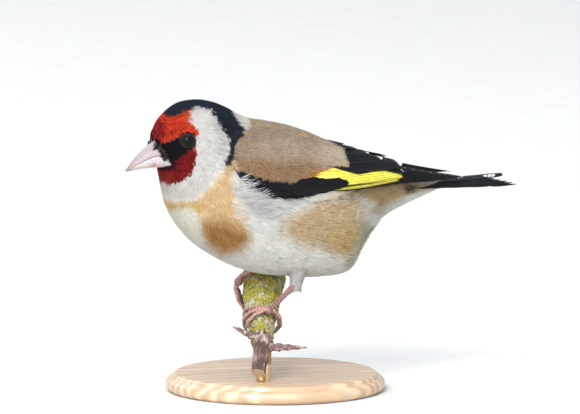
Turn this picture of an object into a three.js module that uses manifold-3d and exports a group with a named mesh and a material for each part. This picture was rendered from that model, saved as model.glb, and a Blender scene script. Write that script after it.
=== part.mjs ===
// A European goldfinch at life size, perched across a lichened hawthorn branch that two rods carry over
// a round base. Millimetres, +Z up. The bird faces -X, its left side is -Y, and its head is turned a
// little to its left. The origin is the centre of the base's underside.
import * as THREE from "three";
import { mergeVertices } from "three/addons/utils/BufferGeometryUtils.js";
import Module from "manifold-3d";

const wasm = await Module();
wasm.setup();

const GAP = 0.3;
const BODY_CENTRE = new THREE.Vector3(8, 0, 59);
const rad = THREE.MathUtils.degToRad;
const mix = THREE.MathUtils.lerp;
const smooth = THREE.MathUtils.smoothstep;
const vec = (x, y, z) => new THREE.Vector3(x, y, z);

// Head, neck and torso are one form, given by slices across it from the tail root to the bill root. A
// slice runs from a point on the back line to a point on the belly line, and is as wide as it says.
const SLICES = [
  { at: "tail root", back: [44, 5.4], belly: [43.5, 1.5], half: 4.2 },
  { at: "tail coverts", back: [34, 8.6], belly: [33.3, -2.6], half: 7.4 },
  { at: "rump", back: [25, 12], belly: [24.2, -7.1], half: 11 },
  { at: "vent", back: [16.5, 15.2], belly: [17.9, -15.5], half: 14.6 },
  { at: "thighs", back: [10.5, 17.6], belly: [14, -22.6], half: 17.2 },
  { at: "belly", back: [4, 20.7], belly: [5, -24.1], half: 19 },
  { at: "loin", back: [-3, 23.4], belly: [-5, -23.4], half: 19.8 },
  { at: "mantle", back: [-10, 25.2], belly: [-15, -22], half: 19.6 },
  { at: "breast", back: [-16, 26.3], belly: [-24, -18.8], half: 18.6 },
  { at: "crop", back: [-20.5, 28.2], belly: [-33.8, -12.8], half: 16.8 },
  { at: "lower throat", back: [-24.2, 30.2], belly: [-39.6, -6.6], half: 14.8 },
  { at: "nape", back: [-28, 31.8], belly: [-42.9, -0.8], half: 12.4 },
  { at: "cheek", back: [-32.3, 32.8], belly: [-44.3, 4], half: 10.8 },
  { at: "crown", back: [-36.6, 32.8], belly: [-45, 7.6], half: 9.4 },
  { at: "eye", back: [-40.3, 32.1], belly: [-45.7, 9.8], half: 8.2 },
  { at: "forehead", back: [-43.8, 30.3], belly: [-46.2, 11], half: 6.5 },
  { at: "lores", back: [-46.7, 27.8], belly: [-46.6, 12], half: 4.8 },
  { at: "bill root", back: [-48.6, 24.6], belly: [-47, 13.2], half: 3.4 },
];
const RINGS_PER_SLICE = 2;
const RING_POINTS = 30;
const WIDEST_BELOW_MIDDLE = 0.06;
const HEAD_SQUARENESS = 0.8;
const FACE_SQUARENESS = 1.35;
const HEAD_TURN = rad(6);
const TURN_PIVOT_X = -22;
const TURN_FROM = SLICES.findIndex((slice) => slice.at === "breast");
const TURN_TO = SLICES.findIndex((slice) => slice.at === "cheek");
const FACE_FROM = SLICES.findIndex((slice) => slice.at === "crown");
const FACE_TO = SLICES.findIndex((slice) => slice.at === "lores");
const NECK_BASE = SLICES.findIndex((slice) => slice.at === "lower throat") - 0.4;
const NECK_TOP = SLICES.findIndex((slice) => slice.at === "nape") + 0.1;
const NECK_JOINT_STEP = 0.08;

// Head parts, in the head's own unturned frame
const EYE = {
  at: [-40.3, 8.1, 21.52], faces: [-0.35, 1, 0.05], radius: 2.5, lid: 2.25, lidThickness: 0.45, detail: 16,
};
const BILL = [
  { x: -57.9, culmen: 12, mouth: 11.7, keel: 11.45, half: 0.25 },
  { x: -56.8, culmen: 13.1, mouth: 12.3, keel: 11.7, half: 0.75 },
  { x: -55, culmen: 15.1, mouth: 13.45, keel: 12, half: 1.5 },
  { x: -52.6, culmen: 17.5, mouth: 14.75, keel: 12.25, half: 2.4 },
  { x: -50.3, culmen: 19.3, mouth: 15.85, keel: 12.35, half: 3.15 },
  { x: -48, culmen: 20.7, mouth: 16.4, keel: 12.45, half: 3.8 },
  { x: -46, culmen: 21.3, mouth: 15.2, keel: 12.45, half: 4.3 },
  { x: -44, culmen: 21.4, mouth: 13.65, keel: 12.5, half: 4.7 },
];
const BILL_ARC = 9;
const BILL_ROUNDNESS = 0.85;
const LOWER_BILL_WIDTH = 0.95;
const NOSTRIL = { at: [-49.4, 2.6, 18.6], radius: 0.55 };

// The surface on which a folded wing's feathers lie: at each x its half width, its top and its middle height
const WING_FORM = [
  [-30, 15.2, 26.2, 8],
  [-20, 18.6, 25.2, 5.5],
  [-10, 20.4, 23.6, 3.6],
  [0, 20.5, 21.3, 3],
  [10, 18.7, 17.5, 3.2],
  [20, 15.3, 14.4, 4],
  [30, 11.6, 11.9, 4.6],
  [40, 8.8, 9.4, 5],
  [52, 6.6, 7.4, 5.2],
];

// The feather groups of one wing, outermost or lowest feather first. Roots and tips are [x, degrees from
// the back line round to the flank], and layer is the height over the wing's surface in mm.
const WING_FEATHERS = [
  { name: "primary", count: 8, root: [[-6, 79], [0, 74]], tip: [[50.5, 64], [31, 48]], fall: 1.4,
    width: [4.4, 6.2], layer: [0, 1.2], rows: 4, point: 5 },
  { name: "secondary", count: 5, root: [[0, 72], [5, 56]], tip: [[30.5, 56], [26.5, 41]], fall: 1,
    width: [6.2, 7], layer: [1.3, 1.8], rows: 4, point: 9 },
  { name: "tertial", count: 3, root: [[3, 55], [6, 34]], tip: [[30, 41], [17, 14]], fall: 1,
    width: [8.6, 8], layer: [1.9, 1.3], rows: 4, point: 8 },
  { name: "alula", count: 2, root: [[-16, 85], [-13, 80]], tip: [[1, 79.5], [6, 76]], fall: 1,
    width: [3.8, 4.4], layer: [1.2, 1.5], rows: 4, point: 6 },
  { name: "primary_covert", count: 4, root: [[-10, 82], [-7, 75]], tip: [[5, 78], [9.8, 73.5]], fall: 1,
    width: [3.8, 4.8], layer: [1.5, 1.9], rows: 3, point: 7 },
  { name: "greater_covert", count: 6, root: [[-8, 76], [-1, 46]], tip: [[7, 70], [13, 42]], fall: 1,
    width: [5.8, 6.4], layer: [2, 2.4], rows: 3, point: 9 },
  { name: "rear_scapular", count: 4, root: [[-8, 64], [-6, 26]], tip: [[5, 62], [10.5, 26]], fall: 1,
    width: [8.6, 9], layer: [2.5, 1.7], rows: 4, point: 4 },
  { name: "scapular", count: 4, root: [[-17, 72], [-14, 28]], tip: [[-4, 73], [2, 30]], fall: 1,
    width: [10, 10.5], layer: [2.8, 2.6], rows: 4, point: 4 },
];

// The bend of the wing and its small coverts: from front to back, the arc covered and the thickness
const SHOULDER = [
  { x: -26, arc: [52, 68], height: 0.6 },
  { x: -24.8, arc: [43, 77], height: 1.3 },
  { x: -22, arc: [34, 85], height: 2.1 },
  { x: -18, arc: [28, 88], height: 2.7 },
  { x: -13, arc: [26, 88], height: 2.9 },
  { x: -8, arc: [26, 87], height: 2.6 },
  { x: -3, arc: [28, 84], height: 1.9 },
  { x: 2, arc: [34, 79], height: 0.9 },
];
const SHOULDER_COLUMNS = 7;
const SHOULDER_DEPTH = 2.5;
const SHOULDER_RIM = 0.4;

const RECTRIX = { count: 6, rootX: 27, length: 41, fork: 7, width: 6.4, spreadTip: 1.26, spreadRoot: 0.45 };
const TAIL = { rootZ: 3.4, tipZ: 4.2, layer: 0.17, roof: 0.05, roll: 0.1 };

const VANE = { thickness: 0.62, edge: 0.5, tilt: 0.28, rootDepth: 3 };

// The perch: its middle line from the cut front end to the back end, with its radius at each point
const PERCH = [
  { at: vec(-20.3, -22, -50.1), radius: 2.3 },
  { at: vec(-17, -15, -42.9), radius: 2.8 },
  { at: vec(-14.4, -6.5, -36), radius: 4.2 },
  { at: vec(-10.4, 6, -29.6), radius: 5.9 },
  { at: vec(-3.7, 22, -22.6), radius: 6.2 },
];
const TWIG_JOINT = 0.42;
const BARK_WAVES = { height: 0.05, rate: 40 };
const THORNS = [
  { from: 0.3, tip: vec(-26.4, -14.5, -36.4), radius: 1.5 },
  { from: 0.24, tip: vec(-3, -17.5, -43.6), radius: 1.6 },
];

// Feet: where each one stands along the perch, and how far round it from the top, towards the tail
const FEET = {
  left: { along: 0.462, round: rad(22), side: -1, ankle: vec(-3.7, -8, -25), knee: vec(-2.8, -8.4, -17) },
  right: { along: 0.77, round: rad(-66), side: 1, ankle: vec(-12.2, 9.6, -20.4), knee: vec(-6, 9.4, -12) },
};
const TOES = [
  { name: "hallux", sweep: 92, drift: 0.4, radius: 0.85 },
  { name: "inner", sweep: -84, drift: 3.1, radius: 0.72 },
  { name: "middle", sweep: -112, drift: 0.3, radius: 0.8 },
  { name: "outer", sweep: -88, drift: -2.9, radius: 0.72 },
];
const CLAW = { length: [5.4, 4, 4.6, 3.9], radius: 0.62, curl: 1.9 };
const TOE_CLEARANCE = 0.35;
const TOE_ARCH = 0.9;
const TOE_KNUCKLE = 0.25;
const TOE_TAPER = { total: 0.18, swell: 0.07, waves: 2.7 };
const PAD_RADIUS = 1.5;
const TARSUS = { foot: 0.85, ankle: 1.15, waist: 0.12 };
const THIGH = { top: 3.4, middle: 2.55, ankle: 1.8, end: 1, overlap: 1.8 };

// The base's turned edge from the floor up: radius and height above its underside
const BASE = {
  x: -8, bottom: -59, top: -53.5,
  profile: [[0, 0], [33, 0], [34, 1], [34, 3.4], [33.4, 4], [32.2, 4], [31.8, 5], [31.3, 5.5], [0, 5.5]],
};
const RODS = [
  { name: "stand_rod_front", along: 0.2, radius: 1.5 },
  { name: "stand_rod_back", along: 0.95, radius: 1.5 },
];

const COLOURS = {
  body: 0xc0a07c, neck: 0xece6dc, head: 0xb3201c, bill: 0xe3cfc4, eye: 0x0c0a0a, wing: 0x15151a,
  tail: 0x17171c, thigh: 0xe6dfd6, leg: 0x9a6a60, claw: 0x4a3a3a, bark: 0x76695a, twig: 0x6b5446,
  wood: 0x4c3322, brass: 0xb58f4d,
};

// Geometry helpers
function geometryOf(points, faces) {
  const geometry = new THREE.BufferGeometry();
  geometry.setAttribute("position", new THREE.Float32BufferAttribute(points.flatMap((p) => p.toArray()), 3));
  geometry.setIndex(faces.flat());
  return geometry;
}

// A closed skin over rings of equally many points, each end closed by a fan from the ring's middle
function loft(rings) {
  const sides = rings[0].length;
  const points = rings.flat();
  const faces = [];
  for (let i = 0; i + 1 < rings.length; i++)
    for (let j = 0; j < sides; j++) {
      const a = i * sides + j;
      const b = i * sides + ((j + 1) % sides);
      faces.push([a, b, b + sides], [a, b + sides, a + sides]);
    }
  for (const [ring, start, front] of [[rings[0], 0, true], [rings.at(-1), (rings.length - 1) * sides, false]]) {
    const centre = points.push(ring.reduce((sum, p) => sum.add(p), vec(0, 0, 0)).divideScalar(sides)) - 1;
    for (let j = 0; j < sides; j++) {
      const a = start + j;
      const b = start + ((j + 1) % sides);
      faces.push(front ? [centre, b, a] : [centre, a, b]);
    }
  }
  return geometryOf(points, faces);
}

// A closed plate between an upper and a lower grid of points, both split along the same diagonals
function plate(upper, lower) {
  const rows = upper.length;
  const columns = upper[0].length;
  const points = [...upper.flat(), ...lower.flat()];
  const under = rows * columns;
  const faces = [];
  const wall = (a, b) => faces.push([a, a + under, b + under], [a, b + under, b]);
  for (let i = 0; i + 1 < rows; i++)
    for (let j = 0; j + 1 < columns; j++) {
      const a = i * columns + j;
      const c = a + columns + 1;
      faces.push([a, a + 1, c], [a, c, c - 1]);
      faces.push([a + under, c + under, a + 1 + under], [a + under, c - 1 + under, c + under]);
    }
  for (let j = 0; j + 1 < columns; j++) {
    wall(j, j + 1);
    wall((rows - 1) * columns + j + 1, (rows - 1) * columns + j);
  }
  for (let i = 0; i + 1 < rows; i++) {
    wall((i + 1) * columns, i * columns);
    wall(i * columns + columns - 1, (i + 1) * columns + columns - 1);
  }
  return geometryOf(points, faces);
}

// A round bar along points, with a radius at each of them
function bar(path, radii, sides) {
  const rings = path.map((point, i) => {
    const ahead = path[Math.min(i + 1, path.length - 1)].clone().sub(path[Math.max(i - 1, 0)]).normalize();
    const up = Math.abs(ahead.z) > 0.9 ? vec(1, 0, 0) : vec(0, 0, 1);
    const across = ahead.clone().cross(up).normalize();
    const over = across.clone().cross(ahead);
    return Array.from({ length: sides }, (_, j) => {
      const turn = (2 * Math.PI * j) / sides;
      return point.clone()
        .addScaledVector(across, Math.cos(turn) * radii[i])
        .addScaledVector(over, -Math.sin(turn) * radii[i]);
    });
  });
  return loft(rings);
}

function solidOf(geometry) {
  const plain = geometry.clone();
  for (const name of Object.keys(plain.attributes))
    if (name !== "position") plain.deleteAttribute(name);
  const merged = mergeVertices(plain, 1e-4);
  const solid = new wasm.Manifold(new wasm.Mesh({
    numProp: 3,
    vertProperties: merged.attributes.position.array,
    triVerts: new Uint32Array(merged.index.array),
  }));
  if (solid.volume() > 0) return solid;
  const turned = new Uint32Array(merged.index.array);
  for (let i = 0; i < turned.length; i += 3) [turned[i], turned[i + 1]] = [turned[i + 1], turned[i]];
  return new wasm.Manifold(new wasm.Mesh({
    numProp: 3,
    vertProperties: merged.attributes.position.array,
    triVerts: turned,
  }));
}

function largestPiece(solid) {
  return solid.decompose().sort((a, b) => b.volume() - a.volume())[0];
}

function joined(solids) {
  return solids.reduce((whole, solid) => whole.add(solid));
}

function meshOf(name, solid, colour, finish) {
  const { numProp, vertProperties, triVerts } = largestPiece(solid).getMesh();
  const positions = [];
  for (const corner of triVerts)
    positions.push(...vertProperties.subarray(corner * numProp, corner * numProp + 3));
  const geometry = new THREE.BufferGeometry();
  geometry.setAttribute("position", new THREE.Float32BufferAttribute(positions, 3));
  geometry.computeVertexNormals();
  const material = new THREE.MeshStandardMaterial({ color: colour, roughness: 0.8, metalness: 0, ...finish });
  const mesh = new THREE.Mesh(geometry, material);
  mesh.name = name;
  return mesh;
}

// Smooth value along a list of equally spaced numbers
function along(values, t) {
  const at = THREE.MathUtils.clamp(t, 0, values.length - 1);
  const i = Math.min(Math.floor(at), values.length - 2);
  const f = at - i;
  const [a, b, c, d] = [i - 1, i, i + 1, i + 2]
    .map((k) => values[THREE.MathUtils.clamp(k, 0, values.length - 1)]);
  return b + 0.5 * f * (c - a + f * (2 * a - 5 * b + 4 * c - d + f * (3 * (b - c) + d - a)));
}

// Body form
const sliceValues = {
  backX: SLICES.map((s) => s.back[0]), backZ: SLICES.map((s) => s.back[1]),
  bellyX: SLICES.map((s) => s.belly[0]), bellyZ: SLICES.map((s) => s.belly[1]),
  half: SLICES.map((s) => s.half),
};

function turned(point, t) {
  const angle = HEAD_TURN * smooth(t, TURN_FROM, TURN_TO);
  const x = point.x - TURN_PIVOT_X;
  return vec(
    TURN_PIVOT_X + Math.cos(angle) * x - Math.sin(angle) * point.y,
    Math.sin(angle) * x + Math.cos(angle) * point.y,
    point.z,
  );
}

// The slice at t, grown outwards by grow
function bodyRing(t, grow) {
  const back = vec(along(sliceValues.backX, t), 0, along(sliceValues.backZ, t));
  const belly = vec(along(sliceValues.bellyX, t), 0, along(sliceValues.bellyZ, t));
  const middle = back.clone().add(belly).multiplyScalar(0.5);
  const up = back.clone().sub(belly).multiplyScalar(0.5);
  up.setLength(up.length() + grow);
  const half = along(sliceValues.half, t) + grow;
  const headSquare = mix(1, HEAD_SQUARENESS, smooth(t, TURN_FROM, TURN_TO));
  const square = mix(headSquare, FACE_SQUARENESS, smooth(t, FACE_FROM, FACE_TO));
  return Array.from({ length: RING_POINTS }, (_, j) => {
    const round = (2 * Math.PI * j) / RING_POINTS;
    const height = Math.cos(round) - WIDEST_BELOW_MIDDLE * Math.sin(round) ** 2;
    const width = half * Math.sign(Math.sin(round)) * Math.abs(Math.sin(round)) ** square;
    return turned(middle.clone().addScaledVector(up, height).add(vec(0, width, 0)), t);
  });
}

function bodyPart(from, to, grow = 0) {
  const steps = Math.max(2, Math.round((to - from) * RINGS_PER_SLICE));
  return solidOf(loft(Array.from({ length: steps + 1 }, (_, i) => bodyRing(mix(from, to, i / steps), grow))));
}

const LAST = SLICES.length - 1;
const bodyClearance = bodyPart(0, LAST, GAP + 0.05);
const inHead = (x, y, z) => turned(vec(x, y, z), LAST);

// Eyes and lids
function ball(centre, radius, detail) {
  return solidOf(new THREE.SphereGeometry(radius, detail, detail / 2).translate(centre.x, centre.y, centre.z));
}

function eyeCentre(side) {
  const [x, y, z] = EYE.at;
  return inHead(x, side * y, z);
}

function lidRing(side) {
  const [x, y, z] = EYE.at.map((value, axis) => value + EYE.faces[axis]);
  const outward = inHead(x, side * y, z).sub(eyeCentre(side)).normalize();
  const ring = new THREE.TorusGeometry(EYE.lid, EYE.lidThickness, 6, EYE.detail);
  ring.applyQuaternion(new THREE.Quaternion().setFromUnitVectors(vec(0, 0, 1), outward));
  const rise = Math.sqrt(EYE.radius ** 2 - EYE.lid ** 2) + EYE.lidThickness;
  const centre = eyeCentre(side).addScaledVector(outward, rise);
  return solidOf(ring.translate(centre.x, centre.y, centre.z));
}

// Bill: each half is lofted from half rings whose flat sides follow the line of the mouth
function billArc(station, edge, end, half) {
  return Array.from({ length: BILL_ARC }, (_, j) => {
    const round = mix(0, Math.PI, j / (BILL_ARC - 1));
    return inHead(station.x, Math.cos(round) * half, mix(edge, end, Math.sin(round) ** BILL_ROUNDNESS));
  });
}

const billUpper = () => solidOf(loft(BILL.map((s) => billArc(s, s.mouth + GAP / 2, s.culmen, s.half))));
const billLower = () => solidOf(loft(BILL.slice(1).map((s) =>
  billArc(s, s.mouth - GAP / 2, s.keel, s.half * LOWER_BILL_WIDTH))));
const billClearance = solidOf(loft(BILL.map((s) => [
  ...billArc(s, s.mouth, s.culmen + GAP, s.half + GAP),
  ...billArc(s, s.mouth, s.keel - GAP, s.half + GAP).reverse().slice(1, -1),
])));

function nostril(side) {
  const [x, y, z] = NOSTRIL.at;
  return ball(inHead(x, side * y, z), NOSTRIL.radius, 8);
}

// Wing form and feathers
function wingPoint(x, degrees, side, height) {
  const first = WING_FORM[0][0];
  const spots = WING_FORM.map((row) => row[0]);
  const i = Math.max(0, spots.findLastIndex((spot) => spot <= x));
  const next = Math.min(i + 1, spots.length - 1);
  const t = x <= first ? 0 : i + (next > i ? (x - spots[i]) / (spots[next] - spots[i]) : 0);
  const half = along(WING_FORM.map((row) => row[1]), t);
  const top = along(WING_FORM.map((row) => row[2]), t);
  const middle = along(WING_FORM.map((row) => row[3]), t);
  const round = rad(degrees);
  const rise = top - middle;
  const out = vec(0, Math.sin(round) * rise, Math.cos(round) * half).normalize();
  const y = side * (half * Math.sin(round) + out.y * height);
  return vec(x, y, middle + rise * Math.cos(round) + out.z * height);
}

// A feather's width at share t of its length: a narrow quill, then the vane, then a rounded or pointed tip
function vaneWidth(t, width, point) {
  return width * Math.min(1, 0.35 + 2.6 * t) * Math.sqrt(Math.max(0.006, 1 - t ** point));
}

// One feather as a plate about its shaft. spine(t) gives the shaft and outward(t) the direction it faces,
// and rootDepth is how far the plate reaches down at its root, into the wing.
function vane(spine, outward, width, rows, point, tilt, rootDepth) {
  const upper = [];
  const lower = [];
  for (let i = 0; i < rows; i++) {
    const t = 1 - (1 - i / (rows - 1)) ** 1.35;
    const shaft = spine(t);
    const ahead = spine(Math.min(1, t + 0.02)).sub(spine(Math.max(0, t - 0.02))).normalize();
    const out = outward(t);
    const across = ahead.clone().cross(out).normalize();
    out.copy(across.clone().cross(ahead)).normalize();
    const half = vaneWidth(t, width, point) / 2;
    const place = (share, height) => shaft.clone()
      .addScaledVector(across, half * share)
      .addScaledVector(out, height - share * tilt - half * half * share * share * 0.03);
    upper.push([-1, 0, 1].map((share) => place(share, share === 0 ? VANE.thickness / 2 : VANE.edge / 2)));
    lower.push([-1, 0, 1].map((share) => place(share, -VANE.edge / 2 - rootDepth * (1 - t))));
  }
  return solidOf(plate(upper, lower));
}

function wingFeather(group, k, side) {
  const share = group.count > 1 ? k / (group.count - 1) : 0;
  const [rootX, rootRound] = [0, 1].map((c) => mix(group.root[0][c], group.root[1][c], share));
  const tipX = mix(group.tip[0][0], group.tip[1][0], share ** group.fall);
  const tipRound = mix(group.tip[0][1], group.tip[1][1], share);
  const layer = mix(...group.layer, share);
  const at = (t, height) => wingPoint(mix(rootX, tipX, t), mix(rootRound, tipRound, t), side, height);
  const spine = (t) => at(t, layer * mix(1, 0.75, t));
  const outward = (t) => at(t, 10).sub(at(t, 0)).normalize();
  const width = mix(...group.width, share);
  return vane(spine, outward, width, group.rows, group.point, side * VANE.tilt, VANE.rootDepth);
}

function shoulder(side) {
  const columns = Array.from({ length: SHOULDER_COLUMNS }, (_, j) => j / (SHOULDER_COLUMNS - 1));
  const grid = (height) => SHOULDER.map((row) => columns.map((c) =>
    wingPoint(row.x, mix(...row.arc, c), side, height(row, 1 - (2 * c - 1) ** 4))));
  return solidOf(plate(
    grid((row, swell) => SHOULDER_RIM + row.height * swell),
    grid(() => -SHOULDER_DEPTH),
  ));
}

function wing(side) {
  const pieces = [shoulder(side)];
  for (const group of WING_FEATHERS)
    for (let k = 0; k < group.count; k++) pieces.push(wingFeather(group, k, side));
  return joined(pieces).subtract(bodyClearance);
}

// Tail: six pairs of feathers, the middle pair on top and shortest, so that the end is forked
function tailFeather(k, side) {
  const share = k / (RECTRIX.count - 1);
  const length = RECTRIX.length - RECTRIX.fork * (1 - share) ** 1.3;
  const rootY = side * RECTRIX.spreadRoot * (k + 0.5);
  const tipY = side * RECTRIX.spreadTip * (k + 0.5);
  const spine = (t) => {
    const y = mix(rootY, tipY, t ** 1.2);
    const layered = TAIL.layer * (RECTRIX.count - 1 - k) - TAIL.roof * Math.abs(y) + TAIL.roll * y;
    return vec(RECTRIX.rootX + length * t, y, mix(TAIL.rootZ, TAIL.tipZ, t) + layered);
  };
  return vane(spine, () => vec(0, 0, 1), RECTRIX.width, 5, 7, side * VANE.tilt * 0.6, 0);
}

function tail() {
  const feathers = [];
  for (let k = 0; k < RECTRIX.count; k++)
    for (const side of [-1, 1]) feathers.push(tailFeather(k, side));
  return joined(feathers).subtract(bodyClearance);
}

// Perch
const perchCurve = new THREE.CatmullRomCurve3(PERCH.map((row) => row.at), false, "centripetal");
const perchRadius = (u) => along(PERCH.map((row) => row.radius), u * (PERCH.length - 1));
const perchAt = (u) => perchCurve.getPoint(THREE.MathUtils.clamp(u, 0, 1));

function perchPiece(from, to, steps, sides, grow = 0) {
  const path = [];
  const radii = [];
  for (let i = 0; i <= steps; i++) {
    const u = mix(from, to, i / steps);
    path.push(perchAt(u));
    radii.push(perchRadius(u) * (1 + BARK_WAVES.height * Math.sin(u * BARK_WAVES.rate)) + grow);
  }
  return solidOf(bar(path, radii, sides));
}

function thorn({ from, tip, radius }) {
  const root = perchAt(from);
  const steps = 5;
  const path = Array.from({ length: steps + 1 }, (_, i) => root.clone().lerp(tip, i / steps));
  return solidOf(bar(path, path.map((_, i) => Math.max(0.2, radius * (1 - i / steps) ** 0.8)), 8));
}

const perchClearance = perchPiece(0, 1, 30, 14, GAP);

// A point at a height over the perch's bark: along it by u, and round it from the top, towards the tail
function onPerch(u, round, height) {
  const ahead = perchCurve.getTangent(THREE.MathUtils.clamp(u, 0, 1));
  const over = vec(0, 0, 1).addScaledVector(ahead, -ahead.z).normalize();
  const across = ahead.clone().cross(over);
  const reach = perchRadius(u) * (1 + BARK_WAVES.height) + height;
  return perchAt(u)
    .addScaledVector(over, Math.cos(round) * reach)
    .addScaledVector(across, Math.sin(round) * reach);
}

// Legs and feet
const PERCH_LENGTH = perchCurve.getLength();

function toePath(foot, toe, overrun) {
  const steps = 8;
  const height = toe.radius + TOE_CLEARANCE;
  return Array.from({ length: steps + 1 }, (_, i) => {
    const t = (i / steps) * overrun;
    const u = foot.along + (t * toe.drift * -foot.side) / PERCH_LENGTH;
    const lift = height + TOE_ARCH * (1 - t) ** 2 + TOE_KNUCKLE * Math.sin(Math.PI * Math.min(t * 3, 3)) ** 2;
    return onPerch(u, foot.round + rad(toe.sweep) * t, lift);
  });
}

function foot(side) {
  const placed = FEET[side];
  const pieces = [ball(onPerch(placed.along, placed.round, PAD_RADIUS + 0.3), PAD_RADIUS, 10)];
  for (const toe of TOES) {
    const path = toePath(placed, toe, 1);
    const radii = path.map((_, i) => {
      const t = i / (path.length - 1);
      const swell = TOE_TAPER.swell * Math.cos(2 * Math.PI * TOE_TAPER.waves * t);
      return toe.radius * (1 - TOE_TAPER.total * t + swell);
    });
    pieces.push(solidOf(bar(path, radii, 7)));
  }
  return joined(pieces).subtract(bodyClearance);
}

function claw(side, k) {
  const placed = FEET[side];
  const toe = TOES[k];
  const path = toePath(placed, toe, 1);
  const ahead = path.at(-1).clone().sub(path.at(-2)).normalize();
  const inward = path.at(-1).clone().sub(onPerch(placed.along, placed.round + rad(toe.sweep), -2)).normalize();
  inward.addScaledVector(ahead, -inward.dot(ahead)).normalize().negate();
  const length = CLAW.length[k];
  const start = path.at(-1).clone().addScaledVector(ahead, GAP);
  const steps = 5;
  const claws = Array.from({ length: steps + 1 }, (_, i) => {
    const t = i / steps;
    return start.clone()
      .addScaledVector(ahead, length * Math.sin(t * 1.15) / 1.15)
      .addScaledVector(inward, CLAW.curl * (1.4 * t * t - 0.5 * t));
  });
  const radii = claws.map((_, i) => Math.max(0.12, CLAW.radius * (1 - i / steps) ** 0.7));
  return solidOf(bar(claws, radii, 6)).subtract(perchClearance).subtract(bodyClearance);
}

function tarsus(side) {
  const placed = FEET[side];
  const foot = onPerch(placed.along, placed.round, PAD_RADIUS + 0.3);
  const ahead = placed.ankle.clone().sub(foot).normalize();
  const start = foot.clone().addScaledVector(ahead, PAD_RADIUS + GAP + 0.05);
  const steps = 6;
  const path = Array.from({ length: steps + 1 }, (_, i) => start.clone().lerp(placed.ankle, i / steps));
  const radii = path.map((_, i) =>
    mix(TARSUS.foot, TARSUS.ankle, (i / steps) ** 2) + TARSUS.waist * Math.cos((i / steps) * 6));
  return solidOf(bar(path, radii, 10));
}

function thighPath(placed) {
  const { knee, ankle } = placed;
  return [knee, knee.clone().add(ankle).multiplyScalar(0.5), ankle,
    ankle.clone().add(ankle.clone().sub(knee).setLength(THIGH.overlap))];
}

function thigh(side, grow = 0) {
  const radii = [THIGH.top, THIGH.middle, THIGH.ankle, THIGH.end];
  return solidOf(bar(thighPath(FEET[side]), radii.map((r) => r + grow), 12));
}

// Stand
function standBase() {
  const profile = BASE.profile.map(([radius, height]) => new THREE.Vector2(radius, height));
  const disc = new THREE.LatheGeometry(profile, 44).rotateX(Math.PI / 2);
  return solidOf(disc.translate(BASE.x, 0, BASE.bottom));
}

function standRod({ along: u, radius }) {
  const under = perchAt(u);
  const height = under.z - (BASE.top + GAP);
  const rod = new THREE.CylinderGeometry(radius, radius, height, 20).rotateX(Math.PI / 2);
  return solidOf(rod.translate(under.x, under.y, BASE.top + GAP + height / 2)).subtract(perchClearance);
}

// The model
const bird = new THREE.Group();
bird.position.copy(BODY_CENTRE);
const add = (name, solid, colour, finish) => bird.add(meshOf(name, solid, colour, finish));
const sides = { left: -1, right: 1 };

let head = bodyPart(NECK_TOP + NECK_JOINT_STEP, LAST);
for (const side of Object.values(sides))
  head = head.add(lidRing(side)).subtract(ball(eyeCentre(side), EYE.radius + GAP, EYE.detail));
add("head", head.subtract(billClearance), COLOURS.head);
add("neck", bodyPart(NECK_BASE + NECK_JOINT_STEP, NECK_TOP), COLOURS.neck);

add("torso", bodyPart(0, NECK_BASE), COLOURS.body);
add("bill_upper", billUpper().subtract(nostril(-1)).subtract(nostril(1)), COLOURS.bill, { roughness: 0.45 });
add("bill_lower", billLower(), COLOURS.bill, { roughness: 0.45 });
add("tail", tail(), COLOURS.tail);
for (const [side, sign] of Object.entries(sides)) {
  add(`eye_${side}`, ball(eyeCentre(sign), EYE.radius, EYE.detail), COLOURS.eye, { roughness: 0.1 });
  add(`wing_${side}`, wing(sign), COLOURS.wing);
  add(`thigh_${side}`, thigh(side).subtract(bodyClearance).subtract(perchClearance), COLOURS.thigh);
  const shank = tarsus(side).subtract(thigh(side, GAP)).subtract(perchClearance);
  add(`tarsus_${side}`, shank, COLOURS.leg, { roughness: 0.55 });
  add(`foot_${side}`, foot(side), COLOURS.leg, { roughness: 0.55 });
  TOES.forEach((toe, k) => add(`claw_${side}_${toe.name}`, claw(side, k), COLOURS.claw, { roughness: 0.4 }));
}
add("perch_branch", perchPiece(TWIG_JOINT + 0.004, 1, 18, 14), COLOURS.bark);
add("perch_twig", joined([perchPiece(0, TWIG_JOINT - 0.004, 10, 12), ...THORNS.map(thorn)]), COLOURS.twig);
add("stand_base", standBase(), COLOURS.wood, { roughness: 0.4 });
for (const rod of RODS) add(rod.name, standRod(rod), COLOURS.brass, { roughness: 0.3, metalness: 1 });

const model = new THREE.Group();
model.add(bird);
export default model;
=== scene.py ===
import bpy
import numpy as np
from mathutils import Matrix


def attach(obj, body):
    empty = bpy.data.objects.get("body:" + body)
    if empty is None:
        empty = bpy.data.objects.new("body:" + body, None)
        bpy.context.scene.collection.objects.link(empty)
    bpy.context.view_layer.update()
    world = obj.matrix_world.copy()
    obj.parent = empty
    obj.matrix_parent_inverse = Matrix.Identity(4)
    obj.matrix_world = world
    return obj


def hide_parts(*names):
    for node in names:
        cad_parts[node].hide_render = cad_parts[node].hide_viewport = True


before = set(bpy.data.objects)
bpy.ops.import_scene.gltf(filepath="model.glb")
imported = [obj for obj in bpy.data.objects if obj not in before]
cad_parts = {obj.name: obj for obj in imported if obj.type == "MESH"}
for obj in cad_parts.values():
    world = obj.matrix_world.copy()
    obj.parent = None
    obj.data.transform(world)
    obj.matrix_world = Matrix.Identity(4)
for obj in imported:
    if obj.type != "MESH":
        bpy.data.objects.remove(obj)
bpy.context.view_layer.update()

# The camera and the studio: a long lens off the bird's left side, a little ahead of it and above it, as in
# the photograph, over a plain pale floor. Big soft lamps stand round it, the strongest above and in front.
BODY_CENTRE = np.array((8.0, 0.0, 59.0))  # mm: the middle of the bird in the model's frame
VIEW_AZIMUTH = np.radians(-17)
VIEW_ELEVATION = np.radians(8)
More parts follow.
